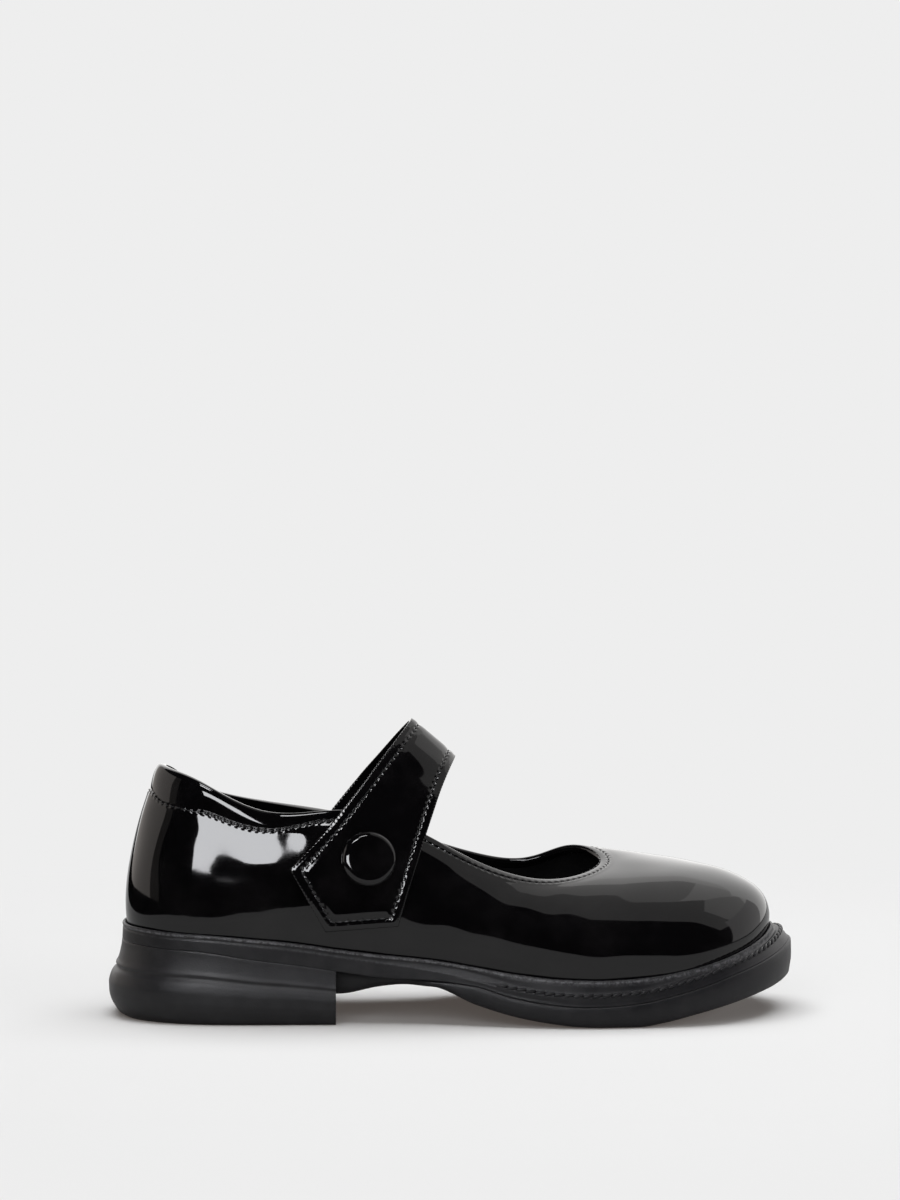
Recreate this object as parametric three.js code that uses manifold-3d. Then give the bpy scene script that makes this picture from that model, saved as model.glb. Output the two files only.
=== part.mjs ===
// A right mary jane shoe in patent leather, on a moulded rubber sole, standing empty and unbent.
// Millimetres. +X runs from heel to toe, +Y to the inner side of the foot, +Z up.
// Every form is a loft round the last: a closed line at the sole's edge (the feather line), a closed
// line at the top edge, and a curve between them in each section.
import * as THREE from 'three';
import Module from 'manifold-3d';
import { mergeVertices } from 'three/addons/utils/BufferGeometryUtils.js';

// Driving sizes
const SOLE_LENGTH = 264;       // whole shoe, heel to toe
const BALL_WIDTH = 90;         // upper at the ball of the foot, along the feather line
const HEEL_HEIGHT = 34.5;      // floor to the feather line at the back
const INSTEP_HEIGHT = 112;     // floor to the underside of the strap at its crest
const UPPER_WALL = 2.2;        // leather and lining together
const STRAP_THICKNESS = 2.6;   // folded leather, two layers and padding
const INSOLE_THICKNESS = 3;
const FIT_GAP = 0.35;          // between pieces that touch
const STRAP_GAP = 0.6;         // strap's inner face to the upper
const LIP_HEIGHT = 1;          // rim of the midsole round the foot of the upper
const LIP_WIDTH = 1;
const BREAST_PLACE = 86.8;     // front face of the heel block
const HEEL_FLUSH_OUT = 1.5;    // heel block outside the feather line where it has no flare
const OUTSOLE_BEVEL = 2.4;     // height of the outsole's rounded lower edge
const OUTSOLE_BEVEL_IN = 3.6;  // and how far in it reaches
const OUTSOLE_WAIST = 0.6;     // share of the outsole's side above its fullest line
const INSOLE_CLEARANCE = 0.55; // insole to the lining round its edge
const BUTTON_RADIUS = 10.4;
const BUTTON_HEIGHT = 3.6;
const BUTTON_TURN_IN = 0.6;    // underside drawn in where the covering turns under

// How finely the forms are cut into facets
const TURN_STEPS = 72;         // round the shoe
const RISE_STEPS = 11;         // from feather line to top edge
const STRAP_ACROSS = 6;
const STRAP_STEPS_PER_ROW = 3;
const BUTTON_STEPS = 32;
const SPLINE_PASSES = 40;
const SEARCH_PASSES = 30;

// Sections of the upper, evenly numbered from the back of the heel along the outer side to the toe
// and back along the inner side. footX, topX: percent of SOLE_LENGTH. footY, topY: percent of half
// BALL_WIDTH. topZ: percent of INSTEP_HEIGHT. The rest are millimetres: swell and stand place the
// lower handle of the section's curve (outwards, up), reach and drop the upper one (outwards, down).
const UPPER_SECTIONS = [
  { footX: 2.8, footY: 0, topX: 7.6, topY: 0, topZ: 86.2, swell: 3, stand: 18, reach: 8, drop: 18 },
  { footX: 4.6, footY: -37, topX: 9.3, topY: -27, topZ: 85.2, swell: 3, stand: 18, reach: 7, drop: 18 },
  { footX: 12.1, footY: -65, topX: 14.4, topY: -48, topZ: 80.8, swell: 3, stand: 18, reach: 5, drop: 17 },
  { footX: 23.5, footY: -72, topX: 23.5, topY: -57, topZ: 72.0, swell: 3.5, stand: 17, reach: 6, drop: 16 },
  { footX: 34.8, footY: -74, topX: 34.5, topY: -56, topZ: 72.4, swell: 4, stand: 16, reach: 8, drop: 15 },
  { footX: 46.2, footY: -80, topX: 44.3, topY: -57, topZ: 65.6, swell: 4, stand: 16, reach: 9, drop: 13 },
  { footX: 57.6, footY: -92, topX: 53.0, topY: -60, topZ: 55.0, swell: 4, stand: 15, reach: 14, drop: 11 },
  { footX: 68.9, footY: -100, topX: 60.6, topY: -58, topZ: 48.9, swell: 4.2, stand: 14, reach: 19, drop: 9.5 },
  { footX: 79.9, footY: -95, topX: 66.3, topY: -46, topZ: 48.0, swell: 4.2, stand: 14, reach: 28, drop: 7 },
  { footX: 90.4, footY: -70, topX: 70.5, topY: -25, topZ: 49.6, swell: 4, stand: 18, reach: 36, drop: 2 },
  { footX: 97.0, footY: 4, topX: 72.3, topY: 4, topZ: 52.0, swell: 4, stand: 18, reach: 52, drop: 0.4 },
  { footX: 91.8, footY: 66, topX: 70.6, topY: 32, topZ: 54.6, swell: 3.8, stand: 17.5, reach: 36, drop: 3.4 },
  { footX: 82.2, footY: 87, topX: 66.9, topY: 48, topZ: 54.0, swell: 3.5, stand: 17, reach: 20, drop: 8 },
  { footX: 72.0, footY: 97, topX: 61.7, topY: 59, topZ: 49.6, swell: 3, stand: 16, reach: 12, drop: 10 },
  { footX: 60.6, footY: 89, topX: 54.9, topY: 62, topZ: 50.9, swell: 3.5, stand: 15, reach: 10, drop: 12 },
  { footX: 48.5, footY: 71, topX: 46.2, topY: 61, topZ: 57.1, swell: 5.5, stand: 16, reach: 8, drop: 14 },
  { footX: 36.4, footY: 64, topX: 35.6, topY: 60, topZ: 65.2, swell: 6, stand: 18, reach: 7, drop: 15 },
  { footX: 23.9, footY: 69, topX: 23.5, topY: 61, topZ: 70.2, swell: 4, stand: 17, reach: 6, drop: 16 },
  { footX: 12.5, footY: 64, topX: 14.0, topY: 48, topZ: 76.0, swell: 3, stand: 18, reach: 5, drop: 17 },
  { footX: 4.6, footY: 36, topX: 9.3, topY: 27, topZ: 83.4, swell: 3, stand: 18, reach: 7, drop: 18 },
];

// Height of the feather line along the shoe. along: percent of SOLE_LENGTH. height: percent of
// HEEL_HEIGHT.
const FEATHER_LINE = [
  { along: 0, height: 100.5 },
  { along: 4.5, height: 100 },
  { along: 8.7, height: 98 },
  { along: 14.4, height: 96 },
  { along: 20.8, height: 92 },
  { along: 27.3, height: 87 },
  { along: 33.3, height: 80.5 },
  { along: 39.8, height: 74.5 },
  { along: 46.2, height: 69.8 },
  { along: 52.3, height: 63 },
  { along: 58.7, height: 55.2 },
  { along: 65.2, height: 50 },
  { along: 71.2, height: 48.7 },
  { along: 77.7, height: 50.7 },
  { along: 83.7, height: 56.5 },
  { along: 89.8, height: 67 },
  { along: 95, height: 80.5 },
  { along: 97.5, height: 91 },
  { along: 100, height: 98 },
];

// Side of the sole. along: percent of SOLE_LENGTH. The rest are millimetres: ridgeOut and ridgeDrop
// place the stitched ridge of the midsole from the feather line, wallOut and wallDrop its lower edge,
// edgeOut the edge of the outsole and floor its underside above the floor.
const SOLE_SECTIONS = [
  { along: 0, ridgeOut: 1.7, ridgeDrop: 1.2, wallOut: 1.9, wallDrop: 5.4, edgeOut: -6, floor: 10 },
  { along: 11, ridgeOut: 1.7, ridgeDrop: 1.3, wallOut: 1.9, wallDrop: 5.2, edgeOut: -6, floor: 10 },
  { along: 23, ridgeOut: 1.7, ridgeDrop: 1.5, wallOut: 1.9, wallDrop: 7, edgeOut: -6, floor: 10 },
  { along: 33.4, ridgeOut: 1.6, ridgeDrop: 1.7, wallOut: 1.8, wallDrop: 7.4, edgeOut: -6, floor: 10.2 },
  { along: 39, ridgeOut: 1.6, ridgeDrop: 2, wallOut: 1.7, wallDrop: 7.7, edgeOut: -6, floor: 13 },
  { along: 43, ridgeOut: 1.8, ridgeDrop: 2.4, wallOut: 1.9, wallDrop: 7.3, edgeOut: -4, floor: 14.2 },
  { along: 46.5, ridgeOut: 2, ridgeDrop: 3, wallOut: 2.2, wallDrop: 6.8, edgeOut: 1.2, floor: 14.2 },
  { along: 53, ridgeOut: 2.7, ridgeDrop: 3.4, wallOut: 3, wallDrop: 6, edgeOut: 3.4, floor: 7.9 },
  { along: 59, ridgeOut: 3.4, ridgeDrop: 4.1, wallOut: 4, wallDrop: 7.8, edgeOut: 4.5, floor: 3.5 },
  { along: 64, ridgeOut: 3.9, ridgeDrop: 4.3, wallOut: 4.7, wallDrop: 8.4, edgeOut: 5.2, floor: 1.3 },
  { along: 67.5, ridgeOut: 4.1, ridgeDrop: 4.5, wallOut: 5, wallDrop: 8.7, edgeOut: 5.5, floor: 0.3 },
  { along: 70.5, ridgeOut: 4.1, ridgeDrop: 4.3, wallOut: 5.1, wallDrop: 8.5, edgeOut: 5.6, floor: 0 },
  { along: 76, ridgeOut: 4.2, ridgeDrop: 3.8, wallOut: 5.2, wallDrop: 7.8, edgeOut: 5.7, floor: 0 },
  { along: 80, ridgeOut: 4.3, ridgeDrop: 2.8, wallOut: 5.4, wallDrop: 6.6, edgeOut: 5.9, floor: 1.5 },
  { along: 84, ridgeOut: 4.4, ridgeDrop: 1.4, wallOut: 5.7, wallDrop: 5.4, edgeOut: 6.2, floor: 4 },
  { along: 90, ridgeOut: 4.6, ridgeDrop: 0, wallOut: 6.4, wallDrop: 3.6, edgeOut: 7, floor: 7.9 },
  { along: 95, ridgeOut: 4.7, ridgeDrop: -0.1, wallOut: 7.6, wallDrop: 3.3, edgeOut: 8.4, floor: 11.3 },
  { along: 100, ridgeOut: 4.8, ridgeDrop: 0.3, wallOut: 8.4, wallDrop: 3.7, edgeOut: 9.3, floor: 15.5 },
];

// Rings of the heel block from the midsole to the floor. out: millimetres outside the feather line
// at the back of the heel. height: share of the block's height.
const HEEL_RINGS = [
  { out: 1.5, height: 1 },
  { out: 2.3, height: 0.885 },
  { out: 3.1, height: 0.775 },
  { out: 4.4, height: 0.655 },
  { out: 4.3, height: 0.625 },
  { out: 6.1, height: 0.56 },
  { out: 7.4, height: 0.42 },
  { out: 7.3, height: 0.31 },
  { out: 6.6, height: 0.21 },
  { out: 5.2, height: 0.12 },
  { out: 3.4, height: 0.04 },
  { out: 1.2, height: 0 },
];
const HEEL_SIDE_FLARE = 0.5;   // how much of that flare is left along the sides
const HEEL_FLARE_LENGTH = 42;  // distance over which it fades

// Sections of the strap's inner face, from its pointed end on the outer side over the instep to the
// end tucked inside the quarter. Millimetres from the back of the heel, the middle and the floor.
// The first four rows lie on the upper, which gives their distance from the middle.
const STRAP_SECTIONS = [
  { rearX: 83, rearY: 0, rearZ: 35.9, frontX: 110.6, frontY: 0, frontZ: 38 },
  { rearX: 69.4, rearY: 0, rearZ: 59.4, frontX: 114.8, frontY: 0, frontZ: 52 },
  { rearX: 78.6, rearY: 0, rearZ: 68.5, frontX: 117.6, frontY: 0, frontZ: 60.5 },
  { rearX: 87.2, rearY: 0, rearZ: 78, frontX: 120.4, frontY: 0, frontZ: 69 },
  { rearX: 96, rearY: -22.8, rearZ: 88.5, frontX: 124, frontY: -22.8, frontZ: 78.5 },
  { rearX: 104, rearY: -17, rearZ: 98.5, frontX: 127.3, frontY: -16.5, frontZ: 87 },
  { rearX: 111.8, rearY: -9.3, rearZ: 107.5, frontX: 130.8, frontY: -9, frontZ: 94.2 },
  { rearX: 116, rearY: 0, rearZ: 112, frontX: 132.8, frontY: 0, frontZ: 97.4 },
  { rearX: 112.6, rearY: 8.5, rearZ: 107.5, frontX: 130.8, frontY: 8.5, frontZ: 94.2 },
  { rearX: 105.2, rearY: 15.8, rearZ: 98, frontX: 127.3, frontY: 15.5, frontZ: 86.5 },
  { rearX: 97, rearY: 20.2, rearZ: 88, frontX: 124.2, frontY: 20.2, frontZ: 78 },
  { rearX: 88.6, rearY: 21.1, rearZ: 77.5, frontX: 121.2, frontY: 21.4, frontZ: 69 },
  { rearX: 80.5, rearY: 22, rearZ: 67, frontX: 119, frontY: 22.2, frontZ: 60.5 },
];
const STRAP_ROWS_ON_UPPER = 3;
const BUTTON_X = 99.4;
const BUTTON_Z = 62.6;

const UP = new THREE.Vector3(0, 0, 1);
const { lerp } = THREE.MathUtils;
const percent = (share, whole) => (share / 100) * whole;

function hermite(p0, p1, m0, m1, t) {
  const t2 = t * t;
  const t3 = t2 * t;
  return p0 * (2 * t3 - 3 * t2 + 1) + m0 * (t3 - 2 * t2 + t) + p1 * (3 * t2 - 2 * t3) + m1 * (t3 - t2);
}

// A closed cubic through one column of a table, smooth up to its curvature. turn: 0 to 1 round.
function closedColumn(rows, column) {
  const values = rows.map((row) => row[column]);
  const count = values.length;
  let slopes = values.map(() => 0);
  for (let pass = 0; pass < SPLINE_PASSES; pass += 1) {
    const before = slopes;
    slopes = values.map((_, i) => {
      const last = (i + count - 1) % count;
      const next = (i + 1) % count;
      return (3 * (values[next] - values[last]) - before[last] - before[next]) / 4;
    });
  }
  return (turn) => {
    const place = THREE.MathUtils.euclideanModulo(turn, 1) * count;
    const i = Math.floor(place) % count;
    const next = (i + 1) % count;
    return hermite(values[i], values[next], slopes[i], slopes[next], place - Math.floor(place));
  };
}

// A smooth open curve through one column against another. It never rises or falls past its rows, so
// level stretches stay level, and it is flat beyond its ends.
function openColumn(rows, key, column) {
  const keys = rows.map((row) => row[key]);
  const values = rows.map((row) => row[column]);
  const last = keys.length - 1;
  const secant = (i) => (values[i + 1] - values[i]) / (keys[i + 1] - keys[i]);
  const slopes = keys.map((_, i) => {
    const before = secant(Math.max(i - 1, 0));
    const after = secant(Math.min(i, last - 1));
    return before * after > 0 ? (2 * before * after) / (before + after) : 0;
  });
  return (at) => {
    const inside = THREE.MathUtils.clamp(at, keys[0], keys[last]);
    let i = 0;
    while (i < last - 1 && inside > keys[i + 1]) {
      i += 1;
    }
    const span = keys[i + 1] - keys[i];
    const t = (inside - keys[i]) / span;
    return hermite(values[i], values[i + 1], slopes[i] * span, slopes[i + 1] * span, t);
  };
}

const section = {};
for (const column of Object.keys(UPPER_SECTIONS[0])) {
  section[column] = closedColumn(UPPER_SECTIONS, column);
}
const side = {};
for (const column of Object.keys(SOLE_SECTIONS[0])) {
  side[column] = openColumn(SOLE_SECTIONS, 'along', column);
}
const featherShare = openColumn(FEATHER_LINE, 'along', 'height');
const alongShare = (x) => (100 * x) / SOLE_LENGTH;
const featherHeight = (x) => percent(featherShare(alongShare(x)), HEEL_HEIGHT);

function featherPoint(turn) {
  const x = percent(section.footX(turn), SOLE_LENGTH);
  const y = percent(section.footY(turn), BALL_WIDTH / 2);
  return new THREE.Vector3(x, y, featherHeight(x));
}

function topEdgePoint(turn) {
  const x = percent(section.topX(turn), SOLE_LENGTH);
  const y = percent(section.topY(turn), BALL_WIDTH / 2);
  return new THREE.Vector3(x, y, percent(section.topZ(turn), INSTEP_HEIGHT));
}

// Level direction that points away from the foot on a closed line.
function outwards(line, turn) {
  const step = 1e-3;
  const along = line(turn + step).sub(line(turn - step));
  return new THREE.Vector3(along.y, -along.x, 0).normalize();
}

// The upper's outer face. rise: 0 on the feather line, 1 on the top edge.
function upperPoint(turn, rise) {
  const foot = featherPoint(turn);
  const top = topEdgePoint(turn);
  const lower = foot.clone().addScaledVector(outwards(featherPoint, turn), section.swell(turn));
  lower.addScaledVector(UP, section.stand(turn));
  const upper = top.clone().addScaledVector(outwards(topEdgePoint, turn), section.reach(turn));
  upper.addScaledVector(UP, -section.drop(turn));
  return new THREE.CubicBezierCurve3(foot, lower, upper, top).getPoint(rise);
}

// Distance of the upper's outer face from the middle, at a place on its outer side.
function upperSide(x, z) {
  let turn = alongShare(x) / 200;
  let rise = 0.5;
  const step = 1e-4;
  for (let pass = 0; pass < SEARCH_PASSES; pass += 1) {
    const here = upperPoint(turn, rise);
    const byTurn = upperPoint(turn + step, rise).sub(here).divideScalar(step);
    const byRise = upperPoint(turn, rise + step).sub(here).divideScalar(step);
    const det = byTurn.x * byRise.z - byRise.x * byTurn.z;
    const dx = x - here.x;
    const dz = z - here.z;
    turn += (dx * byRise.z - byRise.x * dz) / det;
    rise += (byTurn.x * dz - dx * byTurn.z) / det;
  }
  return upperPoint(turn, rise).y;
}

// A grid of points, rows by columns, as a mesh that may close round either way.
function gridGeometry(rows, closedAcross, caps) {
  const across = rows[0].length;
  const positions = rows.flat().flatMap((point) => [point.x, point.y, point.z]);
  const triangles = [];
  const quad = (a, b, c, d) => triangles.push(a, b, c, a, c, d);
  const lastColumn = closedAcross ? across : across - 1;
  for (let i = 0; i < rows.length - 1; i += 1) {
    for (let j = 0; j < lastColumn; j += 1) {
      const next = (j + 1) % across;
      quad(i * across + j, i * across + next, (i + 1) * across + next, (i + 1) * across + j);
    }
  }
  if (caps) {
    capRing(triangles, 0, across, true);
    capRing(triangles, (rows.length - 1) * across, across, false);
  }
  const geometry = new THREE.BufferGeometry();
  geometry.setAttribute('position', new THREE.Float32BufferAttribute(positions, 3));
  geometry.setIndex(triangles);
  return geometry;
}

// Closes a ring with strips that run across the shoe, from the outer side to the inner one.
function capRing(triangles, start, count, flip) {
  const add = (a, b, c) => (flip ? triangles.push(a, c, b) : triangles.push(a, b, c));
  const half = count / 2;
  for (let j = 0; j < half; j += 1) {
    const a = start + j;
    const b = start + j + 1;
    const c = start + count - j - 1;
    const d = start + ((count - j) % count);
    if (j > 0) {
      add(a, b, d);
    }
    if (j < half - 1) {
      add(b, c, d);
    }
  }
}

// Volume inside a mesh, negative where its faces point inwards.
function signedVolume(geometry) {
  const points = geometry.getAttribute('position');
  const index = geometry.getIndex();
  const corner = (i) => new THREE.Vector3().fromBufferAttribute(points, index.getX(i));
  let total = 0;
  for (let i = 0; i < index.count; i += 3) {
    total += corner(i).dot(corner(i + 1).cross(corner(i + 2))) / 6;
  }
  return total;
}

function facingOut(geometry) {
  if (signedVolume(geometry) < 0) {
    const index = geometry.getIndex();
    for (let i = 0; i < index.count; i += 3) {
      const second = index.getX(i + 1);
      index.setX(i + 1, index.getX(i + 2));
      index.setX(i + 2, second);
    }
  }
  return geometry;
}

// A solid made of closed rings round the shoe. Each ring gives, at a place on the feather line, how
// far out it lies and how high.
function ringSolid(rings) {
  const rows = rings.map((ring) => {
    const row = [];
    for (let j = 0; j < TURN_STEPS; j += 1) {
      const turn = j / TURN_STEPS;
      const foot = featherPoint(turn);
      const { out, height } = ring(foot.x, foot.z);
      const point = foot.clone().addScaledVector(outwards(featherPoint, turn), out);
      row.push(point.setZ(height));
    }
    return row;
  });
  return facingOut(gridGeometry(rows, true, true));
}

const wasm = await Module();
wasm.setup();

function toSolid(geometry) {
  const merged = mergeVertices(geometry);
  return new wasm.Manifold(new wasm.Mesh({
    numProp: 3,
    vertProperties: new Float32Array(merged.getAttribute('position').array),
    triVerts: new Uint32Array(merged.getIndex().array),
  }));
}

function fromSolid(solid) {
  const mesh = solid.getMesh();
  const geometry = new THREE.BufferGeometry();
  geometry.setAttribute('position', new THREE.Float32BufferAttribute(mesh.vertProperties, 3));
  geometry.setIndex(Array.from(mesh.triVerts));
  return geometry;
}

// Keeps what lies between two places along the shoe.
function cutBetween(geometry, fromX, toX) {
  const block = new THREE.BoxGeometry(toX - fromX, 2 * BALL_WIDTH, 4 * HEEL_HEIGHT);
  block.deleteAttribute('normal');
  block.deleteAttribute('uv');
  block.translate((fromX + toX) / 2, 0, 0);
  return fromSolid(toSolid(geometry).intersect(toSolid(block)));
}

// Outward normals of a grid that closes round its rows.
function gridNormals(rows) {
  return rows.map((row, i) => row.map((_, j) => {
    const below = rows[Math.max(i - 1, 0)][j];
    const above = rows[Math.min(i + 1, rows.length - 1)][j];
    const last = row[(j + row.length - 1) % row.length];
    const next = row[(j + 1) % row.length];
    return next.clone().sub(last).cross(above.clone().sub(below)).normalize();
  }));
}

function upperGeometry() {
  const outer = [];
  for (let i = 0; i <= RISE_STEPS; i += 1) {
    const row = [];
    for (let j = 0; j < TURN_STEPS; j += 1) {
      row.push(upperPoint(j / TURN_STEPS, i / RISE_STEPS));
    }
    outer.push(row);
  }
  const normals = gridNormals(outer);
  const outside = normals[RISE_STEPS][0].x < 0 ? 1 : -1;
  const inner = outer.map((row, i) => row.map((point, j) => {
    const normal = normals[i][j].clone();
    if (i === 0) {
      normal.setZ(0).normalize();
    }
    return point.clone().addScaledVector(normal, -outside * UPPER_WALL);
  }));
  const rim = outer[RISE_STEPS].map((point, j) => {
    const middle = point.clone().add(inner[RISE_STEPS][j]).divideScalar(2);
    return middle.addScaledVector(UP, UPPER_WALL / 3);
  });
  const loop = [...outer, rim, ...inner.reverse(), outer[0]];
  return facingOut(mergeVertices(gridGeometry(loop, true, false)));
}

const wallBottom = (x, z) => z - side.wallDrop(alongShare(x));

function midsoleGeometry() {
  const between = (from, to, share) => (x) => lerp(
    side[from](alongShare(x)),
    side[to](alongShare(x)),
    share,
  );
  const browOut = between('ridgeOut', 'wallOut', 0.7);
  const browDrop = between('ridgeDrop', 'wallDrop', 0.3);
  return ringSolid([
    (x, z) => ({ out: FIT_GAP, height: z - FIT_GAP }),
    (x, z) => ({ out: 2 * FIT_GAP, height: z + LIP_HEIGHT }),
    (x, z) => ({ out: 2 * FIT_GAP + LIP_WIDTH, height: z + LIP_HEIGHT }),
    (x, z) => ({ out: side.ridgeOut(alongShare(x)), height: z - side.ridgeDrop(alongShare(x)) }),
    (x, z) => ({ out: browOut(x), height: z - browDrop(x) }),
    (x, z) => ({ out: side.wallOut(alongShare(x)), height: wallBottom(x, z) }),
  ]);
}

function outsoleGeometry() {
  const edge = (x) => side.edgeOut(alongShare(x));
  const floor = (x) => side.floor(alongShare(x));
  const whole = ringSolid([
    (x, z) => ({ out: edge(x) - FIT_GAP, height: wallBottom(x, z) - FIT_GAP }),
    (x, z) => ({ out: edge(x), height: lerp(floor(x), wallBottom(x, z), OUTSOLE_WAIST) }),
    (x) => ({ out: edge(x) - 2 * FIT_GAP, height: floor(x) + OUTSOLE_BEVEL }),
    (x) => ({ out: edge(x) - OUTSOLE_BEVEL_IN, height: floor(x) }),
  ]);
  return cutBetween(whole, BREAST_PLACE + FIT_GAP, 2 * SOLE_LENGTH);
}

function heelGeometry() {
  const flare = (x) => {
    const away = THREE.MathUtils.smoothstep(x, 0, HEEL_FLARE_LENGTH);
    return lerp(1, HEEL_SIDE_FLARE, away);
  };
  const whole = ringSolid(HEEL_RINGS.map((ring) => (x, z) => ({
    out: HEEL_FLUSH_OUT + (ring.out - HEEL_FLUSH_OUT) * flare(x),
    height: ring.height * (wallBottom(x, z) - FIT_GAP),
  })));
  return cutBetween(whole, -SOLE_LENGTH, BREAST_PLACE);
}

function insoleGeometry() {
  const out = -(UPPER_WALL + INSOLE_CLEARANCE);
  return ringSolid([
    (x, z) => ({ out, height: z + INSOLE_THICKNESS }),
    (x, z) => ({ out, height: z }),
  ]);
}

function strapSection(place) {
  const straight = place < 1;
  const at = (column) => {
    const rows = STRAP_SECTIONS.map((row, number) => ({ number, value: row[column] }));
    const smooth = openColumn(rows.slice(1), 'number', 'value');
    return straight ? lerp(rows[0].value, rows[1].value, place) : smooth(place);
  };
  const rear = new THREE.Vector3(at('rearX'), at('rearY'), at('rearZ'));
  const front = new THREE.Vector3(at('frontX'), at('frontY'), at('frontZ'));
  return { rear, front };
}

function strapGeometry() {
  const last = STRAP_SECTIONS.length - 1;
  for (let number = 0; number <= STRAP_ROWS_ON_UPPER; number += 1) {
    const row = STRAP_SECTIONS[number];
    row.rearY = upperSide(row.rearX, row.rearZ) - STRAP_GAP;
    row.frontY = upperSide(row.frontX, row.frontZ) - STRAP_GAP;
  }
  const inner = [];
  for (let step = 0; step <= last * STRAP_STEPS_PER_ROW; step += 1) {
    const place = step / STRAP_STEPS_PER_ROW;
    const { rear, front } = strapSection(place);
    const row = [];
    for (let k = 0; k <= STRAP_ACROSS; k += 1) {
      const point = rear.clone().lerp(front, k / STRAP_ACROSS);
      if (place <= STRAP_ROWS_ON_UPPER) {
        point.y = upperSide(point.x, point.z) - STRAP_GAP;
      }
      row.push(point);
    }
    inner.push(row);
  }
  const outer = inner.map((row, i) => row.map((point, k) => {
    const below = inner[Math.max(i - 1, 0)][k];
    const above = inner[Math.min(i + 1, inner.length - 1)][k];
    const rear = row[Math.max(k - 1, 0)];
    const front = row[Math.min(k + 1, STRAP_ACROSS)];
    const normal = above.clone().sub(below).cross(front.clone().sub(rear)).normalize();
    return point.clone().addScaledVector(normal, -STRAP_THICKNESS);
  }));
  const loops = inner.map((row, i) => [...row, ...outer[i].slice().reverse()]);
  const geometry = gridGeometry(loops, true, false);
  const triangles = Array.from(geometry.getIndex().array);
  const width = STRAP_ACROSS + 1;
  const closeEnd = (start, flip) => {
    for (let k = 0; k < STRAP_ACROSS; k += 1) {
      const a = start + k;
      const b = start + k + 1;
      const c = start + 2 * width - 2 - k;
      const d = start + 2 * width - 1 - k;
      triangles.push(...(flip ? [a, c, b, a, d, c] : [a, b, c, a, c, d]));
    }
  };
  closeEnd(0, true);
  closeEnd((loops.length - 1) * 2 * width, false);
  geometry.setIndex(triangles);
  return facingOut(geometry);
}

// A low covered dome standing on the strap's outer face.
function buttonMesh(material) {
  const profile = [
    new THREE.Vector2(0, 0),
    new THREE.Vector2(BUTTON_RADIUS - BUTTON_TURN_IN, 0),
    new THREE.Vector2(BUTTON_RADIUS, 0.2 * BUTTON_HEIGHT),
    new THREE.Vector2(0.97 * BUTTON_RADIUS, 0.55 * BUTTON_HEIGHT),
    new THREE.Vector2(0.87 * BUTTON_RADIUS, 0.83 * BUTTON_HEIGHT),
    new THREE.Vector2(0.69 * BUTTON_RADIUS, 0.95 * BUTTON_HEIGHT),
    new THREE.Vector2(0, BUTTON_HEIGHT),
  ];
  const mesh = new THREE.Mesh(new THREE.LatheGeometry(profile, BUTTON_STEPS), material);
  const span = BUTTON_RADIUS / 3;
  const at = (x, z) => new THREE.Vector3(x, upperSide(x, z), z);
  const alongX = at(BUTTON_X + span, BUTTON_Z).sub(at(BUTTON_X - span, BUTTON_Z));
  const alongZ = at(BUTTON_X, BUTTON_Z + span).sub(at(BUTTON_X, BUTTON_Z - span));
  const normal = alongX.cross(alongZ).normalize();
  mesh.quaternion.setFromUnitVectors(new THREE.Vector3(0, 1, 0), normal);
  const clear = STRAP_GAP + STRAP_THICKNESS + FIT_GAP;
  mesh.position.copy(at(BUTTON_X, BUTTON_Z).addScaledVector(normal, clear));
  return mesh;
}

const patent = (name) => new THREE.MeshStandardMaterial({ name, color: 0x0a0a0b, roughness: 0.08 });
const rubber = (name) => new THREE.MeshStandardMaterial({ name, color: 0x26262a, roughness: 0.62 });
const lining = new THREE.MeshStandardMaterial({ name: 'lining', color: 0x141415, roughness: 0.7 });

const shoe = new THREE.Group();
shoe.name = 'mary_jane_right';

function addPiece(name, geometry, material) {
  const mesh = geometry.isMesh ? geometry : new THREE.Mesh(geometry, material);
  mesh.name = name;
  shoe.add(mesh);
}

addPiece('upper', upperGeometry(), patent('patent_upper'));
addPiece('midsole', midsoleGeometry(), rubber('rubber_midsole'));
addPiece('outsole', outsoleGeometry(), rubber('rubber_outsole'));
addPiece('heel', heelGeometry(), rubber('rubber_heel'));
addPiece('insole', insoleGeometry(), lining);
addPiece('strap', strapGeometry(), patent('patent_strap'));
addPiece('button', buttonMesh(patent('patent_button')));

// The origin is the middle of the footprint, on the floor.
shoe.updateMatrixWorld(true);
const box = new THREE.Box3().setFromObject(shoe, true);
shoe.position.set(-(box.min.x + box.max.x) / 2, -(box.min.y + box.max.y) / 2, -box.min.z);

export default shoe;
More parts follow.
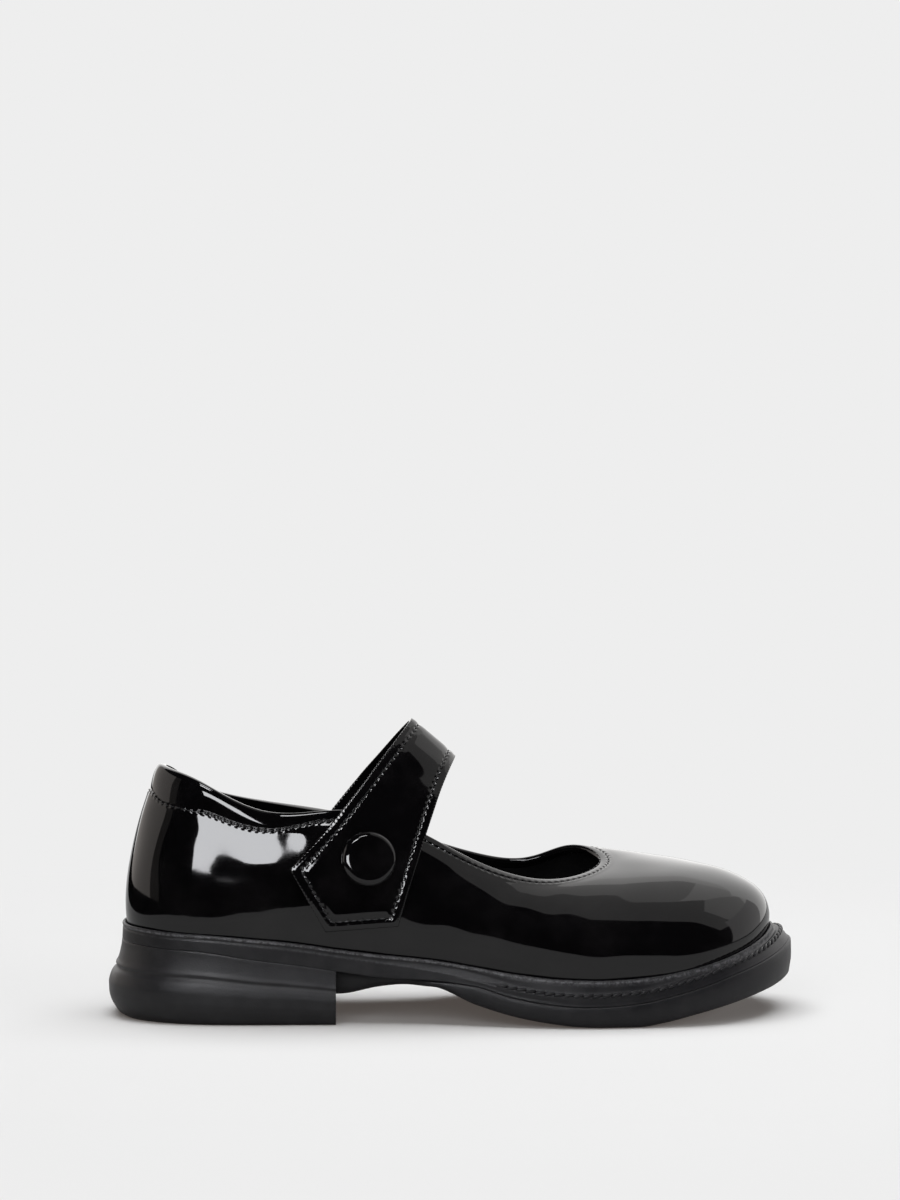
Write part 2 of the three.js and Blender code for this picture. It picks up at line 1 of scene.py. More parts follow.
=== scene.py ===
# A right mary jane shoe in black patent leather on a moulded rubber sole.
# Shoe measures below are millimetres from the back of the heel, the middle line and the floor.
import math
import bmesh
import bpy
import numpy as np
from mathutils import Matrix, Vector


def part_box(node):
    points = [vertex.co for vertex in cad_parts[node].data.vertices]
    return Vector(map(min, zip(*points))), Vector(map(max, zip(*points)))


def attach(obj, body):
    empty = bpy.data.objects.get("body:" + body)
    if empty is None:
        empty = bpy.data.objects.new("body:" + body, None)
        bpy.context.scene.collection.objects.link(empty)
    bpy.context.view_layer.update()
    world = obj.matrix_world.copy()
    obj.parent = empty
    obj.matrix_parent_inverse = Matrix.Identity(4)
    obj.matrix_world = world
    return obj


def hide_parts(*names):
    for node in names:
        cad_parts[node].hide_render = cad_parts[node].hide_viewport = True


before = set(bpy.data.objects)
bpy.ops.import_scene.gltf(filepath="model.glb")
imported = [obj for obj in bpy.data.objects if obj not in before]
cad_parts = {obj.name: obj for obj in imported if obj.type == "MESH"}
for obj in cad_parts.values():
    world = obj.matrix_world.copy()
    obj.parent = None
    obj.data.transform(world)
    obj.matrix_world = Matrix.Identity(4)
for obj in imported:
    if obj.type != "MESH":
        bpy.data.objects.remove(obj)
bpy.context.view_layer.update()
print("frame loaded")

sizes = {
    "soleLength": 264,
    "ballWidth": 90,
    "heelHeight": 34.5,
    "instepHeight": 112,
    "breastPlace": 86.8,
    "wall": 2.2,
    "fitGap": 0.35,
    "insoleInset": 2.75,
}
splinePasses, searchPasses = 40, 30

# the upper's sections: footX, footY, topX, topY, topZ in percent, swell, stand, reach, drop in mm
upperSections = [
    (2.8, 0, 7.6, 0, 86.2, 3, 18, 8, 18),
    (4.6, -37, 9.3, -27, 85.2, 3, 18, 7, 18),
    (12.1, -65, 14.4, -48, 80.8, 3, 18, 5, 17),
    (23.5, -72, 23.5, -57, 72.0, 3.5, 17, 6, 16),
    (34.8, -74, 34.5, -56, 72.4, 4, 16, 8, 15),
    (46.2, -80, 44.3, -57, 65.6, 4, 16, 9, 13),
    (57.6, -92, 53.0, -60, 55.0, 4, 15, 14, 11),
    (68.9, -100, 60.6, -58, 48.9, 4.2, 14, 19, 9.5),
    (79.9, -95, 66.3, -46, 48.0, 4.2, 14, 28, 7),
    (90.4, -70, 70.5, -25, 49.6, 4, 18, 36, 2),
    (97.0, 4, 72.3, 4, 52.0, 4, 18, 52, 0.4),
    (91.8, 66, 70.6, 32, 54.6, 3.8, 17.5, 36, 3.4),
    (82.2, 87, 66.9, 48, 54.0, 3.5, 17, 20, 8),
    (72.0, 97, 61.7, 59, 49.6, 3, 16, 12, 10),
    (60.6, 89, 54.9, 62, 50.9, 3.5, 15, 10, 12),
    (48.5, 71, 46.2, 61, 57.1, 5.5, 16, 8, 14),
    (36.4, 64, 35.6, 60, 65.2, 6, 18, 7, 15),
    (23.9, 69, 23.5, 61, 70.2, 4, 17, 6, 16),
    (12.5, 64, 14.0, 48, 76.0, 3, 18, 5, 17),
    (4.6, 36, 9.3, 27, 83.4, 3, 18, 7, 18),
]

# height of the feather line: percent along, percent of heelHeight
featherLine = [
    (0, 100.5), (4.5, 100), (8.7, 98), (14.4, 96), (20.8, 92), (27.3, 87), (33.3, 80.5), (39.8, 74.5),
    (46.2, 69.8), (52.3, 63), (58.7, 55.2), (65.2, 50), (71.2, 48.7), (77.7, 50.7), (83.7, 56.5),
    (89.8, 67), (95, 80.5), (97.5, 91), (100, 98),
]

# side of the sole: percent along, ridge out and drop, wall out and drop, outsole edge out, floor
soleSections = [
    (0, 1.7, 1.2, 1.9, 5.4, -6, 10),
    (11, 1.7, 1.3, 1.9, 5.2, -6, 10),
    (23, 1.7, 1.5, 1.9, 7, -6, 10),
    (33.4, 1.6, 1.7, 1.8, 7.4, -6, 10.2),
    (39, 1.6, 2, 1.7, 7.7, -6, 13),
    (43, 1.8, 2.4, 1.9, 7.3, -4, 14.2),
    (46.5, 2, 3, 2.2, 6.8, 1.2, 14.2),
    (53, 2.7, 3.4, 3, 6, 3.4, 7.9),
    (59, 3.4, 4.1, 4, 7.8, 4.5, 3.5),
    (64, 3.9, 4.3, 4.7, 8.4, 5.2, 1.3),
    (67.5, 4.1, 4.5, 5, 8.7, 5.5, 0.3),
    (70.5, 4.1, 4.3, 5.1, 8.5, 5.6, 0),
    (76, 4.2, 3.8, 5.2, 7.8, 5.7, 0),
    (80, 4.3, 2.8, 5.4, 6.6, 5.9, 1.5),
    (84, 4.4, 1.4, 5.7, 5.4, 6.2, 4),
    (90, 4.6, 0, 6.4, 3.6, 7, 7.9),
    (95, 4.7, -0.1, 7.6, 3.3, 8.4, 11.3),
    (100, 4.8, 0.3, 8.4, 3.7, 9.3, 15.5),
]


def hermite(p0, p1, m0, m1, t):
    t2, t3 = t * t, t * t * t
    return p0 * (2 * t3 - 3 * t2 + 1) + m0 * (t3 - 2 * t2 + t) + p1 * (3 * t2 - 2 * t3) + m1 * (t3 - t2)


def closedCurve(values):
    values = np.array(values, float)
    count = len(values)
    slopes = np.zeros(count)
    for _ in range(splinePasses):
        around = np.roll(slopes, 1) + np.roll(slopes, -1)
        slopes = (3 * (np.roll(values, -1) - np.roll(values, 1)) - around) / 4

    def at(turn):
        place = np.mod(turn, 1) * count
        i = np.floor(place).astype(int) % count
        after = (i + 1) % count
        return hermite(values[i], values[after], slopes[i], slopes[after], place - np.floor(place))

    return at


def openCurve(keys, values):  # smooth, never past its rows, flat beyond its ends
    keys, values = np.array(keys, float), np.array(values, float)
    secants = np.diff(values) / np.diff(keys)
    before, after = np.append(secants[:1], secants), np.append(secants, secants[-1:])
    same = before * after > 0
    slopes = np.where(same, 2 * before * after / np.where(same, before + after, 1), 0)

    def at(place):
        inside = np.clip(place, keys[0], keys[-1])
        i = np.clip(np.searchsorted(keys, inside, side="right") - 1, 0, len(keys) - 2)
        span = keys[i + 1] - keys[i]
        t = (inside - keys[i]) / span
        return hermite(values[i], values[i + 1], slopes[i] * span, slopes[i + 1] * span, t)

    return at


def smoothStep(low, high, value):
    t = np.clip((value - low) / (high - low), 0, 1)
    return t * t * (3 - 2 * t)


def bump(value, centre, width):  # a bell of height 1
    return np.exp(-((value - centre) / width) ** 2)


def unit(vectors):
    return vectors / np.maximum(np.linalg.norm(vectors, axis=-1, keepdims=True), 1e-9)


def runAlong(path):  # distance walked along a line of points
    return np.append(0, np.cumsum(np.linalg.norm(np.diff(path, axis=0), axis=1)))


columnNames = ("footX", "footY", "topX", "topY", "topZ", "swell", "stand", "reach", "drop")
section = {name: closedCurve([row[k] for row in upperSections]) for k, name in enumerate(columnNames)}
sideNames = ("along", "ridgeOut", "ridgeDrop", "wallOut", "wallDrop", "edgeOut", "floor")
side = {name: openCurve([row[0] for row in soleSections], [row[k] for row in soleSections])
        for k, name in enumerate(sideNames)}
featherShare = openCurve([row[0] for row in featherLine], [row[1] for row in featherLine])


def alongShare(x):
    return 100 * x / sizes["soleLength"]


def featherHeight(x):
    return featherShare(alongShare(x)) * sizes["heelHeight"] / 100


def featherPoint(turn):
    x = section["footX"](turn) * sizes["soleLength"] / 100
    y = section["footY"](turn) * sizes["ballWidth"] / 200
    return np.stack([x, y, featherHeight(x)], -1)


def topEdgePoint(turn):
    x = section["topX"](turn) * sizes["soleLength"] / 100
    y = section["topY"](turn) * sizes["ballWidth"] / 200
    return np.stack([x, y, section["topZ"](turn) * sizes["instepHeight"] / 100], -1)


def outwards(line, turn):
    run = line(turn + 1e-3) - line(turn - 1e-3)
    return unit(np.stack([run[..., 1], -run[..., 0], np.zeros_like(run[..., 0])], -1))


def upperPoint(turn, rise):  # rise 0 at the feather line, 1 at the top edge
    turn, rise = np.broadcast_arrays(np.asarray(turn, float), np.asarray(rise, float))
    foot, top = featherPoint(turn), topEdgePoint(turn)
    lower = foot + outwards(featherPoint, turn) * section["swell"](turn)[..., None]
    lower[..., 2] += section["stand"](turn)
    higher = top + outwards(topEdgePoint, turn) * section["reach"](turn)[..., None]
    higher[..., 2] -= section["drop"](turn)
    s = rise[..., None]
    return foot * (1 - s) ** 3 + 3 * lower * s * (1 - s) ** 2 + 3 * higher * s * s * (1 - s) + top * s ** 3


def upperSide(x, z):  # distance of the upper's outer side from the middle
    x, z = np.broadcast_arrays(np.asarray(x, float), np.asarray(z, float))
    turn, rise, step = alongShare(x) / 200, np.full(x.shape, 0.5), 1e-4
    for _ in range(searchPasses):
        here = upperPoint(turn, rise)
        byTurn = (upperPoint(turn + step, rise) - here) / step
        byRise = (upperPoint(turn, rise + step) - here) / step
        det = byTurn[..., 0] * byRise[..., 2] - byRise[..., 0] * byTurn[..., 2]
        dx, dz = x - here[..., 0], z - here[..., 2]
        turn = turn + (dx * byRise[..., 2] - byRise[..., 0] * dz) / det
        rise = rise + (byTurn[..., 0] * dz - dx * byTurn[..., 2]) / det
    return upperPoint(turn, rise)[..., 1]


# where the shoe's own measures lie in the frame, from the CAD insole
def insoleShift():
    turn = np.arange(72) / 72
    ring = featherPoint(turn) - outwards(featherPoint, turn) * sizes["insoleInset"]
    low = np.array(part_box("insole")[0])
    return np.array([low[0] - ring[:, 0].min() / 1000, low[1] - ring[:, 1].min() / 1000, 0])


shift = insoleShift()
print("measures placed")


def toFrame(points):
    return np.asarray(points, float) / 1000 + shift


def addObject(name, data):
    made = bpy.data.objects.new(name, data)
    bpy.context.scene.collection.objects.link(made)
    return made


def makeMesh(name, points, faces):
    mesh = bpy.data.meshes.new(name)
    mesh.from_pydata(toFrame(points).reshape(-1, 3).tolist(), [], faces)
    mesh.validate()
    piece = addObject(name, mesh)
    faceOut(piece)
    mesh.polygons.foreach_set("use_smooth", [True] * len(mesh.polygons))
    return piece


def reshape(piece, change):  # runs a change on the piece's mesh
    shape = bmesh.new()
    shape.from_mesh(piece.data)
    change(shape)
    shape.to_mesh(piece.data)
    shape.free()


def faceOut(piece):
    def change(shape):
        bmesh.ops.recalc_face_normals(shape, faces=shape.faces)
        if shape.calc_volume(signed=True) < 0:
            bmesh.ops.reverse_faces(shape, faces=shape.faces)

    reshape(piece, change)


def gridFaces(rows, across, closedRows=False, closedAcross=True):
    i = np.arange(rows if closedRows else rows - 1)[:, None]
    j = np.arange(across if closedAcross else across - 1)[None, :]
    below, above = i * across, ((i + 1) % rows) * across
    after = (j + 1) % across
    quads = np.stack([below + j, below + after, above + after, above + j], -1)
    return quads.reshape(-1, 4).tolist()


def capFaces(start, count):  # strips across a ring round the shoe, from the outer side to the inner one
    half = count // 2
    faces = []
    for j in range(half):
        a, b, c, d = start + j, start + j + 1, start + count - j - 1, start + (count - j) % count
        if j == 0:
            faces.append([a, b, c])
        elif j == half - 1:
            faces.append([a, b, d])
        else:
            faces.append([a, b, c, d])
    return faces


def ringPiece(name, rings, steps=480):  # rings of (out, height) arrays, from the top down
    turn = np.arange(steps) / steps
    foot, away = featherPoint(turn), outwards(featherPoint, turn)
    rows = []
    for ring in rings:
        out, height = ring(foot[:, 0], foot[:, 2])
        row = foot + away * np.broadcast_to(out, turn.shape)[:, None]
        row[:, 2] = height
        rows.append(row)
    points = np.array(rows)
    faces = gridFaces(len(rows), steps) + capFaces(0, steps) + capFaces((len(rows) - 1) * steps, steps)
    return makeMesh(name, points, faces)


def cutAway(piece, place, keepFront):  # cuts a piece across at a place along the shoe and closes it
    def change(shape):
        geom = list(shape.verts) + list(shape.edges) + list(shape.faces)
        at = Vector((place / 1000 + shift[0], 0, 0))
        made = bmesh.ops.bisect_plane(shape, geom=geom, plane_co=at, plane_no=(1, 0, 0),
                                      clear_inner=keepFront, clear_outer=not keepFront)
        edges = [e for e in made["geom_cut"] if isinstance(e, bmesh.types.BMEdge)]
        for face in bmesh.ops.contextual_create(shape, geom=edges)["faces"]:
            face.smooth = False
        for e in edges:
            if e.is_valid:
                e.smooth = False

    reshape(piece, change)
    faceOut(piece)


def gridNormals(points, closedAcross=True):
    if closedAcross:
        run = np.roll(points, -1, 1) - np.roll(points, 1, 1)
    else:
        run = np.gradient(points, axis=1)
    return unit(np.cross(run, np.gradient(points, axis=0)))


def addAttributes(piece, **valuesByName):
    for name, values in valuesByName.items():
        attribute = piece.data.attributes.new(name, "FLOAT", "POINT")
        attribute.data.foreach_set("value", np.asarray(values, np.float32).ravel())


def addNode(tree, kind, values=None, **settings):
    made = tree.nodes.new(kind)
    for key, value in settings.items():
        setattr(made, key, value)
    for key, value in (values or {}).items():
        if isinstance(value, bpy.types.NodeSocket):
            tree.links.new(value, made.inputs[key])
        else:
            made.inputs[key].default_value = value
    return made.outputs


class Wire:  # a socket with arithmetic
    def __init__(self, maker, socket):
        self.maker, self.socket = maker, socket

    def math(self, operation, *others):
        return self.maker.node("ShaderNodeMath", dict(enumerate([self, *others])), operation=operation).out()

    def __add__(self, other): return self.math("ADD", other)
    def __mul__(self, other): return self.math("MULTIPLY", other)
    def __truediv__(self, other): return self.math("DIVIDE", other)


class Made:
    def __init__(self, maker, outputs):
        self.maker, self.outputs = maker, outputs

    def out(self, name=0):
        return Wire(self.maker, self.outputs[name])


class Finish:
    def __init__(self, name):
        self.material = bpy.data.materials.new(name)
        self.material.use_nodes = True
        self.tree = self.material.node_tree
        self.tree.nodes.clear()

    def node(self, kind, values=None, **settings):
        plain = {key: getattr(value, "socket", value) for key, value in (values or {}).items()}
        return Made(self, addNode(self.tree, kind, plain, **settings))

    def place(self):
        return self.node("ShaderNodeTexCoord").out("Object")

    def attribute(self, name):
        return self.node("ShaderNodeAttribute", attribute_name=name).out("Fac")

    def noise(self, scale, detail=2, roughness=0.5, place=None):
        values = {"Vector": place or self.place(), "Scale": scale, "Detail": detail, "Roughness": roughness}
        return self.node("ShaderNodeTexNoise", values).out("Fac")

    def spread(self, value, fromLow, fromHigh, toLow, toHigh):
        values = {"Value": value, "From Min": fromLow, "From Max": fromHigh}
        return self.node("ShaderNodeMapRange", {**values, "To Min": toLow, "To Max": toHigh}).out("Result")

    def mixColour(self, factor, first, second):
        colours = [c if isinstance(c, Wire) else (*c, 1) for c in (first, second)]
        values = {0: factor, 6: colours[0], 7: colours[1]}
        return self.node("ShaderNodeMix", values, data_type="RGBA").out(2)

    def bumped(self, height, strength, distance, normal=None):
        values = {"Height": height, "Strength": strength, "Distance": distance}
        if normal is not None:
            values["Normal"] = normal
        return self.node("ShaderNodeBump", values).out("Normal")

    def glowing(self, colour, strength):
        return self.node("ShaderNodeEmission", {"Color": (*colour, 1), "Strength": strength}).out()

    def shown(self, surface):
        self.node("ShaderNodeOutputMaterial", {"Surface": surface})
        return self.material

    def finish(self, values):
        return self.shown(self.node("ShaderNodeBsdfPrincipled", values).out("BSDF"))


patent = {
    "colour": (0.0022, 0.002, 0.0024),
    # in the patent this is the duller tone of the smeared patches, laid by noise
    "wornAndPaintedHighlightColour": (0.006, 0.0055, 0.006),
    "roughness": (0.035, 0.075),
    "waveSize": 26,        # waves to the metre
    "waveDepth": 0.00011,
    "peelSize": 900,
    "peelDepth": 0.0000035,
    "smearSize": 60,
    "rippleSize": 150,
    "rippleDepth": 0.00003,
    "puckerWidth": 0.75,   # mm across the stitch line
    "puckerDepth": 0.00022,
}


def makePatent():
    f = Finish("patentLeather")
    waves = f.noise(patent["waveSize"], 2, 0.45)
    peel = f.noise(patent["peelSize"], 2, 0.5)
    smear = f.noise(patent["smearSize"], 3, 0.6)
    along, across, weight = (f.attribute(name) for name in ("seamAlong", "seamAcross", "seamWeight"))
    apart = across / patent["puckerWidth"]
    bell = (apart * apart * -1).math("EXPONENT")
    pucker = bell * ((along * (2 * math.pi)).math("COSINE") * 0.5 + 0.5) * weight
    normal = f.bumped(waves, 0.5, patent["waveDepth"])
    normal = f.bumped(f.noise(patent["rippleSize"], 1, 0.5), 0.5, patent["rippleDepth"], normal)
    normal = f.bumped(pucker, 1.0, patent["puckerDepth"], normal)
    normal = f.bumped(peel, 0.5, patent["peelDepth"], normal)
    return f.finish({
        "Base Color": f.mixColour(f.spread(smear, 0.45, 0.75, 0, 1), patent["colour"], patent["wornAndPaintedHighlightColour"]),
        "Roughness": f.spread(smear, 0.35, 0.8, *patent["roughness"]),
        "IOR": 1.5,
        "Normal": normal,
    })


rubber = {
    "colour": (0.0085, 0.0082, 0.0098),
    "dustColour": (0.0155, 0.015, 0.017),
    "roughness": (0.38, 0.5),
    # pale colour painted on the lip's two bright lines: a painted highlight, broken into painted glints
    "wornAndPaintedHighlightColour": (0.36, 0.36, 0.38),
    "mottle": 120,
    "paintedGlintSize": 700,
    "grain": 1500,
    "grainDepth": 0.00006,
}


def makeRubber(name, specular):
    f = Finish(name)
    mottle = f.noise(rubber["mottle"], 4, 0.6)
    grain = f.noise(rubber["grain"], 2, 0.6)
    dust = f.spread(mottle, 0.4, 0.75, 0, 1)
    # painted highlight: rings marked in the attribute take the pale colour, speckled by noise as painted
    # glints
    lipHighlightMask = f.attribute("wear") * f.spread(f.noise(rubber["paintedGlintSize"], 2, 0.7), 0.4, 0.62, 0.2, 1)
    plain = f.mixColour(dust, rubber["colour"], rubber["dustColour"])
    return f.finish({
        "Base Color": f.mixColour(lipHighlightMask, plain, rubber["wornAndPaintedHighlightColour"]),
        "Roughness": f.spread(mottle, 0.3, 0.7, *rubber["roughness"]),
        "IOR": 1.5,
        "Specular IOR Level": specular,
        "Normal": f.bumped(grain, 0.55, rubber["grainDepth"]),
    })


liningLeather = {
    "colours": ((0.008, 0.008, 0.009), (0.02, 0.02, 0.021)),
    "roughness": (0.5, 0.7),
    "mottle": 90,
    "pores": 1500,
    "poreDepth": 0.00006,
}


def makeLining():
    f = Finish("liningLeather")
    values = {"Vector": f.place(), "Scale": liningLeather["pores"]}
    cells = f.node("ShaderNodeTexVoronoi", values, feature="F1")
    mottle = f.noise(liningLeather["mottle"], 3, 0.55)
    return f.finish({
        "Base Color": f.mixColour(mottle, *liningLeather["colours"]),
        "Roughness": f.spread(mottle, 0.3, 0.7, *liningLeather["roughness"]),
        "Normal": f.bumped(cells.out("Distance"), 0.45, liningLeather["poreDepth"]),
    })


thread = {
    "colours": ((0.006, 0.006, 0.007), (0.016, 0.016, 0.018)),
    "roughness": (0.25, 0.45),
    "twist": 5000,
    "twistDepth": 0.00004,
}


def makeThread():
    f = Finish("waxedThread")
    twist = f.noise(thread["twist"], 1, 0.5)
    return f.finish({
        "Base Color": f.mixColour(twist, *thread["colours"]),
        "Roughness": f.spread(twist, 0.3, 0.7, *thread["roughness"]),
        "Normal": f.bumped(twist, 0.4, thread["twistDepth"]),
    })


patentMaterial = makePatent()
soleMaterial = makeRubber("mouldedRubber", 0.34)
heelMaterial = makeRubber("heelRubber", 0.43)
liningMaterial = makeLining()
threadMaterial = makeThread()
print("materials made")


def dress(piece, material, slot, *nodes):
    piece.data.materials.clear()
    piece.data.materials.append(material)
    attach(piece, "root")
    if nodes:
        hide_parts(*nodes)
    return piece


def stitchTree():
    tree = bpy.data.node_groups.new("stitchRow", "GeometryNodeTree")
    face = tree.interface
    face.new_socket("Geometry", in_out="INPUT", socket_type="NodeSocketGeometry")
    for name in ("Pitch", "Length", "Width", "Height", "Slant", "Lift"):
        face.new_socket(name, in_out="INPUT", socket_type="NodeSocketFloat")
    face.new_socket("Material", in_out="INPUT", socket_type="NodeSocketMaterial")
    face.new_socket("Geometry", in_out="OUTPUT", socket_type="NodeSocketGeometry")

    def add(kind, values=None, **settings):
        return addNode(tree, kind, values, **settings)

    start = add("NodeGroupInput")
    path = add("GeometryNodeMeshToCurve", {"Mesh": start["Geometry"]})[0]
    even = add("GeometryNodeResampleCurve", {"Curve": path, "Length": start["Pitch"]}, mode="LENGTH")[0]
    out = add("GeometryNodeInputNamedAttribute", {"Name": "outward"}, data_type="FLOAT_VECTOR")[0]
    raised = add("ShaderNodeVectorMath", {0: out, "Scale": start["Lift"]}, operation="SCALE")[0]
    moved = add("GeometryNodeSetPosition", {"Geometry": even, "Offset": raised})[0]
    tangent = add("GeometryNodeInputTangent")[0]
    turned = add("FunctionNodeAlignRotationToVector", {"Vector": tangent}, axis="X")[0]
    upright = add("FunctionNodeAlignRotationToVector", {"Rotation": turned, "Vector": out},
                  axis="Z", pivot_axis="X")[0]
    slant = add("ShaderNodeCombineXYZ", {"Z": start["Slant"]})[0]
    slantTurn = add("FunctionNodeEulerToRotation", {0: slant})[0]
    rotated = add("FunctionNodeRotateRotation", {"Rotation": upright, "Rotate By": slantTurn},
                  rotation_space="LOCAL")[0]
    ball = add("GeometryNodeMeshUVSphere", {"Segments": 10, "Rings": 6, "Radius": 0.5})[0]
    scale = add("ShaderNodeCombineXYZ", {"X": start["Length"], "Y": start["Width"], "Z": start["Height"]})[0]
    placed = add("GeometryNodeInstanceOnPoints",
                 {"Points": moved, "Instance": ball, "Rotation": rotated, "Scale": scale})[0]
    real = add("GeometryNodeRealizeInstances", {"Geometry": placed})[0]
    smooth = add("GeometryNodeSetShadeSmooth", {"Geometry": real})[0]
    coloured = add("GeometryNodeSetMaterial", {"Geometry": smooth, "Material": start["Material"]})[0]
    add("NodeGroupOutput", {"Geometry": coloured})
    return tree


stitchGroup = stitchTree()


def runTree(name, source, tree, values):  # a modifier's result as a plain mesh
    modifier = source.modifiers.new("build", "NODES")
    modifier.node_group = tree
    for item in tree.interface.items_tree:
        if item.item_type == "SOCKET" and item.in_out == "INPUT" and item.name in values:
            modifier[item.identifier] = values[item.name]
    graph = bpy.context.evaluated_depsgraph_get()
    mesh = bpy.data.meshes.new_from_object(source.evaluated_get(graph), depsgraph=graph)
    mesh.name = name
    piece = addObject(name, mesh)
    bpy.data.objects.remove(source)
    return piece


def stitchRow(name, points, normals, closed, look, material):
    count = len(points)
    edges = [(i, (i + 1) % count) for i in range(count if closed else count - 1)]
    mesh = bpy.data.meshes.new(name + "Path")
    mesh.from_pydata(toFrame(points).tolist(), edges, [])
    attribute = mesh.attributes.new("outward", "FLOAT_VECTOR", "POINT")
    attribute.data.foreach_set("vector", np.asarray(normals, np.float32).ravel())
    source = addObject(name + "Path", mesh)
    values = {key: look[key.lower()] / 1000 for key in ("Pitch", "Length", "Width", "Height", "Lift")}
    values["Slant"] = math.radians(look["slant"])
    values["Material"] = material
    return runTree(name, source, stitchGroup, values)


def joined(name, pieces):
    if len(pieces) > 1:
        with bpy.context.temp_override(active_object=pieces[0], selected_editable_objects=pieces):
            bpy.ops.object.join()
    pieces[0].name = name
    return pieces[0]


stitches = {
    "upper": {"pitch": 2.7, "length": 2.35, "width": 0.55, "height": 0.42, "lift": -0.02, "slant": 5},
    "lining": {"pitch": 2.7, "length": 2.2, "width": 0.5, "height": 0.35, "lift": 0.05, "slant": 0},
    "strap": {"pitch": 2.7, "length": 2.35, "width": 0.55, "height": 0.42, "lift": 0.02, "slant": 5},
    "welt": {"pitch": 3.6, "length": 4.5, "width": 1.35, "height": 1.5, "lift": 0.0, "slant": 16},
}

upper = {
    "marks": [  # along, up, half length, half height, height; mm
        (41, 64, 22, 22, -1.0),
        (75, 76, 24, 13, 1.4),
        (100, 64, 32, 24, 1.0),
        (60, 61, 5, 4, 0.16),
        (70, 70, 5, 3.5, -0.16),
        (48, 57, 6, 4, -0.14),
        (36, 74, 3, 4, 0.12),
        (78, 74, 4, 3, -0.1),
    ],
    "steps": 432,
    "bandRows": 44,
    "sideRows": 64,
    "innerRows": 24,
    "rimRows": 9,
    "foldDepth": 3.2,       # leather turned in over the top edge
    "foldStep": 0.25,
    "leather": 1.25,
    "stitchBelow": 2.8,     # row round the throat, below the edge
    "seamStitch": 0.9,      # row under the collar's seam
    "collarFades": (84, 104),
    "bandSink": 0.45,
    "bandBulge": 0.95,
    "seamGroove": (0.16, 0.4),      # depth, half width
    "stitchGroove": (0.3, 0.42),
    "edgePuff": 0.14,
    "rowPuff": (0.08, 1.3, 0.9),    # height, place below the row, half width
    "waves": 0.05,
    "wavesFrom": 9,         # the edge itself lies calm
}
bandPlaces = (20, 25, 33.5, 40, 51, 65, 74, 83)
bandDepths = (10, 12.5, 11.3, 9.3, 8, 6.3, 4.6, 3.6)
seamDepth = openCurve([*bandPlaces, 104, 130], [*bandDepths, 3.2, 3])
rowDepth = openCurve([*bandPlaces, 112, 130], [*bandDepths, 5.6, 6])


def leatherWaves(points):  # the unevenness of leather drawn over a last
    height = np.zeros(points.shape[:-1])
    for k in range(9):
        turn, tilt = 2.4 * k, 0.7 * math.sin(1.7 * k + 0.4)
        along = np.array([math.cos(turn) * math.cos(tilt), math.sin(turn) * math.cos(tilt), math.sin(tilt)])
        height += np.sin(points @ along * 2 * math.pi / (15 + 3.1 * k) + 1.9 * k) * (0.6 + 0.07 * k)
    return height


def collarShare(turn):  # 1 round the heel, 0 round the throat
    return 1 - smoothStep(*upper["collarFades"], topEdgePoint(turn)[..., 0])


def stitchPlace(turn):
    x, collar = topEdgePoint(turn)[..., 0], collarShare(turn)
    return upper["stitchBelow"] * (1 - collar) + (seamDepth(x) + upper["seamStitch"]) * collar


def softMarks(points):  # soft bulges and dents worn into the outer side
    total = np.zeros(points.shape[:-1])
    for x, z, halfLength, halfHeight, height in upper["marks"]:
        away = ((points[..., 0] - x) / halfLength) ** 2 + ((points[..., 2] - z) / halfHeight) ** 2
        total += height * np.exp(-away)
    return total * (points[..., 1] < 0)


def upperRelief(turn, below, points):
    x, collar = topEdgePoint(turn)[..., 0], collarShare(turn)
    depth = seamDepth(x)
    inBand = np.clip(below / depth, 0, 1)
    bulge = np.sin(math.pi * inBand ** 0.62) ** 0.75
    past = below - depth
    quarter = smoothStep(0.02, 0.4, past) * (1.15 - 0.3 * smoothStep(0.6, 5, past))
    band = upper["bandSink"] * (quarter * 0.95 - 1) + upper["bandBulge"] * bulge * (past < 0)
    sunk, width = upper["seamGroove"]
    band -= sunk * bump(past, upper["seamStitch"], width)
    row = upper["stitchBelow"]
    throat = upper["edgePuff"] * np.sin(math.pi * np.clip(below / row, 0, 1))
    sunk, width = upper["stitchGroove"]
    throat -= sunk * bump(below, row, width)
    height, place, width = upper["rowPuff"]
    throat += height * bump(below, row + place, width)
    calm = smoothStep(0, upper["wavesFrom"], below)
    waves = upper["waves"] * calm * leatherWaves(points)
    return collar * band + (1 - collar) * throat + waves + calm * softMarks(points)


def columnPoints(turn, below):  # base surface at distances below the top edge; one column a turn
    fine = np.linspace(1, 0, 500)
    points = np.empty(below.shape + (3,))
    for j, at in enumerate(turn):
        line = upperPoint(np.full(fine.shape, at), fine)
        rise = np.interp(below[:, j], runAlong(line), fine)
        points[:, j] = upperPoint(np.full(rise.shape, at), rise)
    return points


def columnLengths(turn):
    fine = np.linspace(1, 0, 200)
    line = upperPoint(turn[None, :], fine[:, None])
    return np.linalg.norm(np.diff(line, axis=0), axis=2).sum(0)


def upperRows(turn):  # rows of distance below the top edge, closer together in the band
    lengths = columnLengths(turn)
    x = topEdgePoint(turn)[..., 0]
    band = np.linspace(0, 1, upper["bandRows"])[:, None] * rowDepth(x)[None, :]
    share = np.linspace(0, 1, upper["sideRows"] + 1)[1:, None]
    share = share * (0.22 + 0.78 * share)
    rest = band[-1] + share * (lengths - band[-1])[None, :]
    return np.concatenate([band, rest])


